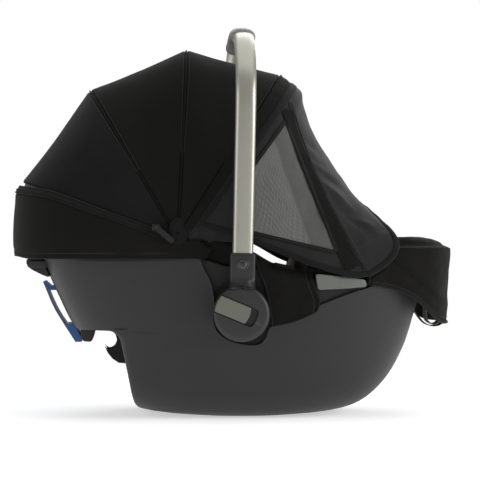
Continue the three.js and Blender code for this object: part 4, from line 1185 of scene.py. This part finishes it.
# the inner fold where the drape is gathered into the front bow
for side, word in SIDES:
    t = np.linspace(0, 1, 40)
    fold = []
    for v in np.linspace(0, 1, 12):
        x = -88 + 80 * t
        z = 281 - 13 * t - v * (36 - 19 * t)
        y = 185.6 - 5 * v + 1.2 * np.sin(t * 19 + v * 3)
        fold.append(np.c_[x, side * y, z])
    gather = grid_piece(f"drape_inner_fold_{word}", fold, "drape_cloth", "canopy_front",
                        away_from=(0, 0, 250),
                        thick=1.0)
    trims.append(gather)

# the visor: gathered cloth between the front bow and the drape
visor_table = smooth_line(DRAPE[:3], per=10)[:10]
visor_cloth = drape_grid(visor_table, 211)
start = arch("front", np.linspace(0, 1, 211), 6.6)
share = np.linspace(0, 1, len(visor_cloth))[:, None, None]
visor_cloth = visor_cloth * share + (start + (visor_cloth - visor_cloth[:1])) * (1 - share)
pucker = ripple(visor_cloth * (1, 2.2, 2.2), 11, 7) * 1.1 * np.sin(np.pi * share[..., 0]) ** 0.7
visor_cloth += outward(visor_cloth) * pucker[..., None]
visor = grid_piece("canopy_visor_cloth", visor_cloth, "black_fabric", "canopy_front",
                   away_from=UNDER_CANOPY, thick=1.4)
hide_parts("canopy_visor")
edge, below = visor_cloth[-1], outward(visor_cloth)[-1]
band_rows = np.array([edge + below * h + (visor_cloth[-1] - visor_cloth[-3]) * f for h, f in
                      ((0.3, -1.1), (1.5, -0.9), (1.9, 0), (1.5, 0.9), (0.3, 1.1))])
trims.append(grid_piece("visor_band", band_rows, "binding", "canopy_front", away_from=UNDER_CANOPY,
                        thick=0.8))

for piece in (drape, *windows, *trims, visor):
    fold_with_canopy(piece)
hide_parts("drape_sheet")
for obj, (side, word) in zip(windows, SIDES):
    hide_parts(f"drape_mesh_{word}")


# ---------------------------------------------------------------- padded seat
def coordinates(obj):
    flat = np.empty(3 * len(obj.data.vertices))
    obj.data.vertices.foreach_get("co", flat)
    return flat.reshape(-1, 3)


def puff(obj, cell, most, pressure=4.0):
    """Fills a closed form like a cushion: even faces, then a short cloth run under inner pressure."""
    even = obj.modifiers.new("even", "REMESH")
    even.mode, even.voxel_size = "VOXEL", cell / 1000
    bake(obj)
    start = coordinates(obj)
    cloth = obj.modifiers.new("cloth", "CLOTH")
    rules = cloth.settings
    rules.quality, rules.mass = 5, 0.25
    rules.tension_stiffness = rules.compression_stiffness = 12
    rules.shear_stiffness, rules.bending_stiffness = 5, 0.4
    rules.use_pressure, rules.uniform_pressure_force = True, pressure
    rules.effector_weights.gravity = 0
    cloth.point_cache.frame_start, cloth.point_cache.frame_end = 1, 20
    for frame_number in range(1, 21):
        scene.frame_set(frame_number)
    bake(obj)
    scene.frame_set(1)
    move = coordinates(obj) - start
    far = np.linalg.norm(move, axis=1)[:, None]
    start = start + move * np.minimum(1, most / 1000 / np.maximum(far, 1e-9))
    obj.data.vertices.foreach_set("co", start.ravel())
    smooth = obj.modifiers.new("smooth", "SUBSURF")
    smooth.levels = smooth.render_levels = 1
    bake(obj)
    shade_smooth(obj.data)
    obj.data.materials.clear()
    return obj


def box_uvs(obj):
    """UVs in metres from the direction each face looks in."""
    layer = obj.data.uv_layers.new(name="UVMap") if not obj.data.uv_layers else obj.data.uv_layers[0]
    for face in obj.data.polygons:
        keep = sorted(range(3), key=lambda k: abs(face.normal[k]))[:2]
        for corner in face.loop_indices:
            co = obj.data.vertices[obj.data.loops[corner].vertex_index].co
            layer.data[corner].uv = (co[min(keep)], co[max(keep)])


roll_shape = Bucket(SHELL, 9.5)
COLUMNS = 118


def pad_surface():
    """The padding from the middle of the seat up the walls and over the rim, and where its rim starts."""
    inner = stack_of(lambda z: whole(cavity_shape.ring(z, COLUMNS)), 76.2, 272)[1]
    outer = stack_of(lambda z: whole(roll_shape.ring(z, COLUMNS)), 180, 268)[1]
    mouth = inner(np.full(2 * COLUMNS - 2, 235.0))
    crest = soft_profile(PAD_TOP, mouth[:, 0], 6) - 2.2 * (1 - ease(mouth[:, 0], 55, 85))
    floor_ring = inner(np.full(2 * COLUMNS - 2, 76.4))
    middle = floor_ring.mean(0)
    rows = [middle + (floor_ring - middle) * f - (0, 0, 0.4) for f in (0.02, 0.25, 0.5, 0.72, 0.9)]
    for f in np.linspace(0, 1, 64) ** 0.92:
        rows.append(inner(76.4 + (crest - 9 - 76.4) * f))
    wall_rows = len(rows)
    a, top = rows[-1], outer(np.minimum(crest - 7, 262))
    for f in np.linspace(0.08, 0.92, 11):
        arc = math.sin(math.pi * f) ** 0.55
        line = a * (1 - f) + top * f
        rows.append(np.c_[line[:, :2], (a[:, 2] * (1 - f) + top[:, 2] * f) + 8.6 * arc])
    rim = soft_profile(RIM, top[:, 0]) + 1.2
    for f in np.linspace(0, 1, 7):
        rows.append(outer(np.maximum(top[:, 2] + (rim - top[:, 2]) * f, rim)))
    last = rows[-1]
    for d in (4, 12):
        rows.append(np.c_[last[:, :2] * (1 - d / 190), last[:, 2] + 0.2])
    grid = np.array(rows)
    n = -outward(grid, (20, 0, 300))
    x, y, z = grid[..., 0], grid[..., 1], grid[..., 2]
    inside = np.zeros(grid.shape[:2])
    inside[6:wall_rows] = 1
    inside = np.minimum(inside, ease(np.arange(len(grid)), 3, 9)[:, None])
    centre = 74 - 12 * ease(-x, 60, 200)
    groove = np.exp(-(((np.abs(y) - centre) / 3.2) ** 2))
    for at in (-222, -186, -150, -114, -78, -42, 122, 150, 178, 206):
        groove = np.maximum(groove, np.exp(-(((x - at) / 3.2) ** 2)) * ease(centre - np.abs(y), -1, 1))
    puffed = 2.4 - 3.4 * groove + ripple(grid, 34, 2) * 1.1 + ripple(grid, 13, 6) * 0.35
    rim_soft = ripple(grid, 40, 11) * 1.3 + ripple(grid, 15, 12) * 0.5
    over = np.zeros(grid.shape[:2])
    over[wall_rows:-3] = 1
    grid = grid + n * (puffed * inside)[..., None]
    grid[..., 2] += rim_soft * over * 0.8
    # room for the posts that carry the canopy
    near = ease(PIVOT_X + 34 - x, 0, 12) * ease(x - PIVOT_X + 34, 0, 12)
    limit = np.where(near > 0, 200 - 42.5 * near, 1e3)
    grid[..., 1] = np.sign(y) * np.minimum(np.abs(grid[..., 1]), limit)
    return grid, wall_rows


pad_grid, wall_rows = pad_surface()
pad = grid_piece("seat_padding", pad_grid, "grey_fabric", "seat", wrap=True)
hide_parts("seat_pad")
pad.data.materials.append(LOOKS["black_fabric"])
columns = pad_grid.shape[1]
for face in pad.data.polygons:
    face.material_index = int(min(face.vertices) // columns >= wall_rows + 2)
pad_tree = tree_of(pad)

# the lining that joins the valance to the edge of the pad
rear_plan, rear_out = plan[plan[:, 0] < -98], out[plan[:, 0] < -98]
pad_edge = pad_grid[-3]
near = np.array([pad_edge[np.argmin(np.linalg.norm(pad_edge[:, :2] - p, axis=1))] for p in rear_plan])
hem_line = np.c_[rear_plan - rear_out * 0.4, skirt_low(rear_plan[:, 0]) + 2]
near[:, 2] += 2
lining = grid_piece("valance_lining", [hem_line * (1 - f) + near * f - (0, 0, 3 * math.sin(math.pi * f))
                                       for f in np.linspace(0, 1, 9)], "black_fabric", "seat",
                    away_from=(-60, 0, 600), thick=1.2)
piping = pad_grid[wall_rows + 3].copy()
piping[:, 2] += 0.4
cord_piece("pad_piping", np.r_[piping, piping[:1]], 1.9, "binding", "seat", up=(0, 0, 1), sides=10)


def drop(x, y, lift=0.0, start=300):
    """The point of the padding under a place of the plan."""
    hit, normal, _, _ = pad_tree.ray_cast(Vector((x, y, start)), Vector((0, 0, -1)))
    if hit is None:
        return np.array([x, y, 200.0]), np.array([0, 0, 1.0])
    normal = np.array(normal) * (1 if normal.z > 0 else -1)
    return np.array(hit) + normal * lift, normal


# quilting stitches down both sides of the back and across it
for side, word in SIDES:
    line = [drop(x, side * (74 - 12 * float(ease(-x, 60, 200))), 0.3) for x in np.linspace(-206, 190, 120)]
    stitches(f"pad_stitch_{word}", [p for p, _ in line], [n for _, n in line], "thread", "seat", 4.2,
             (2.8, 0.8, 0.5))
for k, at in enumerate((-186, -150, -114, -78, -42, 122, 150, 178)):
    half = 72 - 12 * float(ease(-at, 60, 200))
    line = [drop(at, y, 0.3) for y in np.linspace(-half, half, 40)]
    stitches(f"pad_channel_{k}", [p for p, _ in line], [n for _, n in line], "thread", "seat", 4.2,
             (2.8, 0.8, 0.5))


# ---------------------------------------------------------------- flaps over the shell's edge
FLAP = np.array([(24, 227), (28, 211), (35, 194), (41, 175), (44, 156), (48, 133)], float)
FLAP_FRONT = np.array([(103, 209), (103, 197), (107, 184), (113.5, 168), (111, 154)], float)


def flap_point(x, z, side, lift):
    y = shell_shape.side(x, min(z, 225)) + lift
    rim = float(soft_profile(RIM, x))
    over = max(0.0, z - rim)
    if over > 0:
        hit, _, _, _ = pad_tree.ray_cast(Vector((x, side * 400, z)), Vector((0, -side, 0)))
        if hit is not None:
            y = min(y, abs(hit.y) + lift) if over > 5 else y + (min(y, abs(hit.y) + lift) - y) * over / 5
    return np.array([x, side * y, z])


for side, word in SIDES:
    rows = []
    left, right = spaced(smooth_line(FLAP), 40), spaced(smooth_line(FLAP_FRONT), 40)
    for a, b in zip(left, right):
        t = np.linspace(0, 1, 30)[:, None]
        line = a + (b - a) * t
        line[:, 1] -= 5.5 * np.sin(np.pi * t[:, 0]) * float(ease(-a[1], -170, -137)) * 0.6
        rows.append([flap_point(x, z, side, 1.5) for x, z in line])
    grid = np.array(rows)
    for _ in range(4):
        grid[1:-1, :, 1] = (grid[:-2, :, 1] + grid[1:-1, :, 1] + grid[2:, :, 1]) / 3
    lift = ripple(grid, 26, 8) * 1.2 + ripple(grid, 11, 3) * 0.4
    edge = np.minimum(1, np.minimum.outer(np.arange(40), np.full(30, 9)) / 6)
    grid[..., 1] += side * np.abs(lift) * edge
    flap = grid_piece(f"rim_flap_cloth_{word}", grid, "black_fabric", "seat", away_from=(60, 0, 180),
                      thick=1.1)
    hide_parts(f"rim_flap_{word}")
    edge_line = np.r_[grid[:, 0], grid[-1, 1:], grid[::-1, -1][1:]] + (0, side * 0.5, 0)
    edge_line = smooth_line(spaced(edge_line, 40), per=4)
    cord_piece(f"rim_flap_edge_{word}", edge_line, 1.3, "binding", "seat", up=(0, side, 0.02), sides=10,
               flat=0.7)
    inner = grid[:, 26] + (0, side * 0.7, 0)
    stitches(f"rim_flap_stitch_{word}", inner, np.tile((0, side, 0.0), (len(inner), 1)), "thread", "seat",
             3.6)

# ---------------------------------------------------------------- plates that hold the vehicle's belt
PLATE = np.array([(107, 206), (130, 204), (180, 197), (182, 187), (150, 184.5), (111, 183)], float)
for side, word in SIDES:
    corners = []
    for k, p in enumerate(PLATE):
        before, after = PLATE[k - 1], PLATE[(k + 1) % len(PLATE)]
        a = p + (before - p) / np.linalg.norm(before - p) * 3.4
        b = p + (after - p) / np.linalg.norm(after - p) * 3.4
        corners += [a, p * 0.4 + (a + b) * 0.3, b]
    outline = spaced(np.array(corners), 110, closed=True)
    centre = outline.mean(0)
    rings = []
    for shrink, lift in ((0, 1.2), (0, 5.2), (0.5, 6.1), (1.4, 6.5), (4, 6.6)):
        at = outline + unit(centre - outline) * shrink
        rings.append([(x, side * (shell_shape.side(x, z) + lift), z) for x, z in at])
    for f in (0.75, 0.5, 0.25, 0.02):
        at = centre + (outline - centre) * f * 0.93
        rings.append([(x, side * (shell_shape.side(x, z) + 6.6), z) for x, z in at])
    plate = grid_piece(f"belt_plate_{word}", rings if side < 0 else [r[::-1] for r in rings], "badge",
                       "seat", wrap=True)
    sharp(plate, 50)
    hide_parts(f"belt_guide_{word}")

# ---------------------------------------------------------------- boot over the foot end
BOOT_LOW = np.array([(180, 191), (188, 190), (205, 188), (222, 184.5), (243, 176.4), (254, 170),
                     (264, 163.2),
                     (277, 151.8), (290, 140.5), (300, 134.5), (312, 133.5), (330, 135)], float)
HALF = 90


def boot_ring(z):
    """The boot's part of a slice, from the right side round the foot end to the left side."""
    line = boot_shape.half_slice(z, 700)
    x = line[:, 0]
    y = float(np.interp(-185, -x, line[:, 1]))
    half_line = spaced(np.r_[line[x > 185], [(185, y)]], HALF)
    skin = shell_shape.side(half_line[:, 0], z) + 2.4
    skin *= 1 - ease(z - soft_profile(RIM, half_line[:, 0]), 3, 16)
    half_line[:, 1] = np.maximum(half_line[:, 1], np.where(skin > 40, skin, 0))
    return np.r_[half_line[::-1] * (1, -1), half_line[1:]]


boot_stack, boot_at = stack_of(boot_ring, 126, 248)
probe = boot_stack[30]
low = soft_profile(BOOT_LOW, probe[:, 0], 5)
rows = []
for f in np.linspace(0, 1, 46):
    rows.append(boot_at(low + (246.5 - low) * f))
inner_edge = smooth_line([(185, -118), (225, -112), (244, -97), (250, -62), (252, 0), (250, 62), (244, 97),
                          (225, 112), (185, 118)], per=30)
inner_edge = spaced(inner_edge, boot_stack.shape[1])
top = rows[-1]
for f in np.linspace(0.06, 1, 14):
    crown = 11.4 * math.sin(math.pi * min(0.5, f * 0.8)) ** 0.6
    line = top[:, :2] * (1 - f) + inner_edge * f
    drop_side = 1 - 0.45 * ease(-line[:, 0], -236, -192)
    rows.append(np.c_[line, 246.5 + crown * drop_side])
for inset, down in ((1.4, 0.9), (2.4, 3.4), (2.6, 9), (2.2, 16)):
    centre_way = unit(np.c_[195 - inner_edge[:, 0], -inner_edge[:, 1]], TINY)
    rows.append(np.c_[inner_edge + centre_way * inset, rows[59][:, 2] - down])
boot_grid = np.array(rows)
boot_normals = outward(boot_grid, (230, 0, 190))
x, y, z = boot_grid[..., 0], boot_grid[..., 1], boot_grid[..., 2]
share = np.arange(len(boot_grid)) / 45
face = ease(share, 0, 0.14)[:, None] * (1 - ease(share, 1.28, 1.36)[:, None])
slack = ripple(boot_grid * (1, 1, 0.8), 42, 4) * 1.6 + ripple(boot_grid, 17, 5) * 0.7
slack += ripple(boot_grid, 8, 6) * 0.25
diagonal = (x - 252) * 0.62 + (z - 196) * 0.78
fold = -2.4 * np.exp(-((diagonal / 4.5) ** 2)) * ease(np.abs(y), 90, 125)
fold += 1.3 * np.exp(-(((diagonal - 9) / 6) ** 2))
boot_grid = boot_grid + boot_normals * ((slack + fold * 0.8 - 0.9) * face)[..., None]
boot = grid_piece("foot_boot", boot_grid, "black_fabric", "seat", away_from=(230, 0, 190), thick=1.6)
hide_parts("foot_cover")
edge = boot_grid[0] + boot_normals[0] * 0.6
cord_piece("boot_piping", edge[1:-1], 2.1, "binding", "seat", up=(0, 0, 1), sides=12)
for k, index in enumerate((3, 52)):
    stitches(f"boot_stitch_{k}", (boot_grid[index] + boot_normals[index] * 0.3)[2:-2],
             boot_normals[index][2:-2],
             "thread", "seat", 3.8, (2.6, 0.8, 0.4))
for column in (0, -1):
    side_edge = boot_grid[:47, column] + boot_normals[:47, column] * 0.4
    cord_piece(f"boot_side_{column}", side_edge, 1.8, "binding", "seat", up=(1, 0, 0), sides=10)

# ---------------------------------------------------------------- head support and harness
bolster = []
for f in np.linspace(0, 1, 70):
    angle = math.pi * (f - 0.5)
    reach = 1 - 0.14 * abs(math.sin(angle)) ** 3
    spine = np.array([-152 - 76 * math.cos(angle) ** 0.8, 92 * math.sin(angle),
                      200 - 18 * abs(math.sin(angle)) ** 1.5])
    thick = 13.5 * (0.35 + 0.65 * math.sin(math.pi * min(1, max(0, 0.04 + 0.92 * f))) ** 0.35)
    tall = 30 * reach
    outward_way = unit(np.array([-math.cos(angle), math.sin(angle) * 1.1, 0]))
    section = oval(2 * thick, 2 * tall, 28, 2.4)
    slant = unit(np.array([-0.62 * math.cos(angle), 0.16 * math.sin(angle), 0.78]))
    bolster.append(spine + section[:, :1] * outward_way + section[:, 1:] * slant)
bolster = np.array(bolster)
support = grid_piece("head_cushion", bolster, "grey_fabric", "seat", wrap=True, caps=True)
puff(support, 4.5, 6.0)
support.data.materials.append(LOOKS["grey_fabric"])
box_uvs(support)
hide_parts("head_support")

STRAP_LINE = [(-148, 30), (-110, 35), (-60, 48), (-10, 66), (30, 82)]
LAP = [((70, 108, 168), (76, 78, 162)), ((96, 113, 212), (88, 80, 224)), ((130, 111, 228), (124, 77, 238)),
       ((160, 105, 239), (154, 71, 245)), ((182, 100, 245), (178, 67, 248))]


def webbing_piece(name, pairs, across=9, thickness=1.7, count=90, crown=0.6):
    outer = spaced(smooth_line([a for a, _ in pairs]), count)
    inner = spaced(smooth_line([b for _, b in pairs]), count)
    t = np.linspace(0, 1, across)[None, :, None]
    grid = outer[:, None] * (1 - t) + inner[:, None] * t
    n = grid_normals(grid)
    n *= np.sign(n[..., 2:]) + (n[..., 2:] == 0)
    grid = grid + n * (crown * np.sin(np.pi * t) + ripple(grid, 40, 3)[..., None] * 0.8)
    obj = grid_piece(name, grid, "webbing", "seat", away_from=grid.mean((0, 1)) - (0, 0, 500),
                     thick=thickness)
    for edge in (1, across - 2):
        stitches(f"{name}_stitch_{edge}", grid[:, edge] + n[:, edge] * 0.1, n[:, edge], "light_thread",
                 "seat", 3.4,
                 (2.3, 0.7, 0.4))
    return obj, grid, n


for side, word in SIDES:
    pairs = []
    for x0, y0 in STRAP_LINE:
        ends = [drop(x0, side * (y0 + w), 2.4)[0] for w in (18, -18)]
        pairs.append(tuple(ends))
    pairs += [tuple(np.array(p) * (1, side, 1) for p in pair) for pair in LAP]
    strap, strap_grid, strap_up = webbing_piece(f"harness_{word}", pairs)
    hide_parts(f"harness_strap_{word}")
    pad_part = strap_grid[4:44:2].mean(1)
    ups = strap_up[4:44:2].mean(1)
    ends = np.sin(np.linspace(0.12, np.pi - 0.12, len(pad_part))) ** 0.3
    tangent = np.gradient(pad_part, axis=0)
    sideways = unit(np.cross(tangent, ups))
    ring = oval(50, 9, 24, 3.2)
    rows = [p + s * ring[:, :1] * e + u * (ring[:, 1:] * e + 5.2)
            for p, s, u, e in zip(pad_part, sideways, ups, ends)]
    cover = grid_piece(f"shoulder_cover_{word}", rows, "grey_fabric", "seat", wrap=True, caps=True)
    puff(cover, 4.0, 5.0, 5.0)
    cover.data.materials.append(LOOKS["grey_fabric"])
    box_uvs(cover)
    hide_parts(f"shoulder_pad_{word}")

crotch = [(drop(x0, 18, 2.2)[0], drop(x0, -18, 2.2)[0]) for x0 in (46, 58, 72, 90, 104)]
strap, _, _ = webbing_piece("crotch_webbing", crotch, count=40)
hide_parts("crotch_strap")

loop = smooth_line([(287, 182), (286, 164), (285, 146), (287, 134), (296, 128), (305, 131), (309, 142),
                    (306, 155)],
                   per=12)
rows = [[(x, y, z) for y in np.linspace(-18, 18, 9)] for x, z in loop]
tail = grid_piece("adjuster_webbing", rows, "webbing", "seat", away_from=(298, 0, 160), thick=1.6)
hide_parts("adjuster_strap")
band_line = smooth_line([(266, 158), (270, 148), (276, 138), (284, 129.5), (294, 125.6), (304, 126),
                         (312, 130)], per=10)
rows = [[(x, y, z) for y in np.linspace(-12, 12, 7)] for x, z in band_line]
elastic = grid_piece("adjuster_elastic", rows, "binding", "seat", away_from=(290, 0, 160), thick=1.4)

# ---------------------------------------------------------------- the CAD pieces that show as they are
slots = {part["node"]: part["material_slot"] for part in frame["record"]["subparts"]}
OTHER_LOOKS = {"zip_pull": "panel", "release_handle": "shell", "latch_hook_right": "panel",
               "latch_hook_left": "panel",
               "latch_shaft": "dark_steel"}
BEVELS = {"shoulder_belt_guide": (1.1, 3), "buckle_body": (2.6, 4), "buckle_button": (1.2, 3),
          "adjuster_housing": (1.8, 3), "adjuster_button": (1.0, 3), "release_handle": (1.6, 3),
          "latch_hook_right": (1.4, 3), "latch_hook_left": (1.4, 3), "latch_shaft": (0.6, 2),
          "canopy_mount_right": (0.8, 2), "canopy_mount_left": (0.8, 2), "zip_slider": (0.6, 3),
          "zip_pull": (0.35, 2), "buckle_tongue_right": (0.8, 3), "buckle_tongue_left": (0.8, 3)}
for name, node in NODES.items():
    node.data.materials.clear()
    node.data.materials.append(LOOKS[OTHER_LOOKS.get(name, slots[name])])
    if name in BEVELS:
        bevel(node, *BEVELS[name])


# ---------------------------------------------------------------- floor
floor_mesh = bpy.data.meshes.new("floor")
FLOOR_Z = -0.0005
corners = [(-1.7, -4.2, FLOOR_Z), (1.9, -4.2, FLOOR_Z), (1.9, 1.0, FLOOR_Z), (-1.7, 1.0, FLOOR_Z)]
floor_mesh.from_pydata(corners, [], [(0, 1, 2, 3)])
floor_look = look("floor", "f4f4f4", 0.9, grain=(400, 0.02, 0.0001), mottle=0.004, specular=0.0)
glow = floor_look.node_tree.nodes["Principled BSDF"].inputs
glow["Emission Color"].default_value = (1, 1, 1, 1)
glow["Emission Strength"].default_value = 0.5
floor_mesh.materials.append(floor_look)
floor = add_object("floor", floor_mesh)
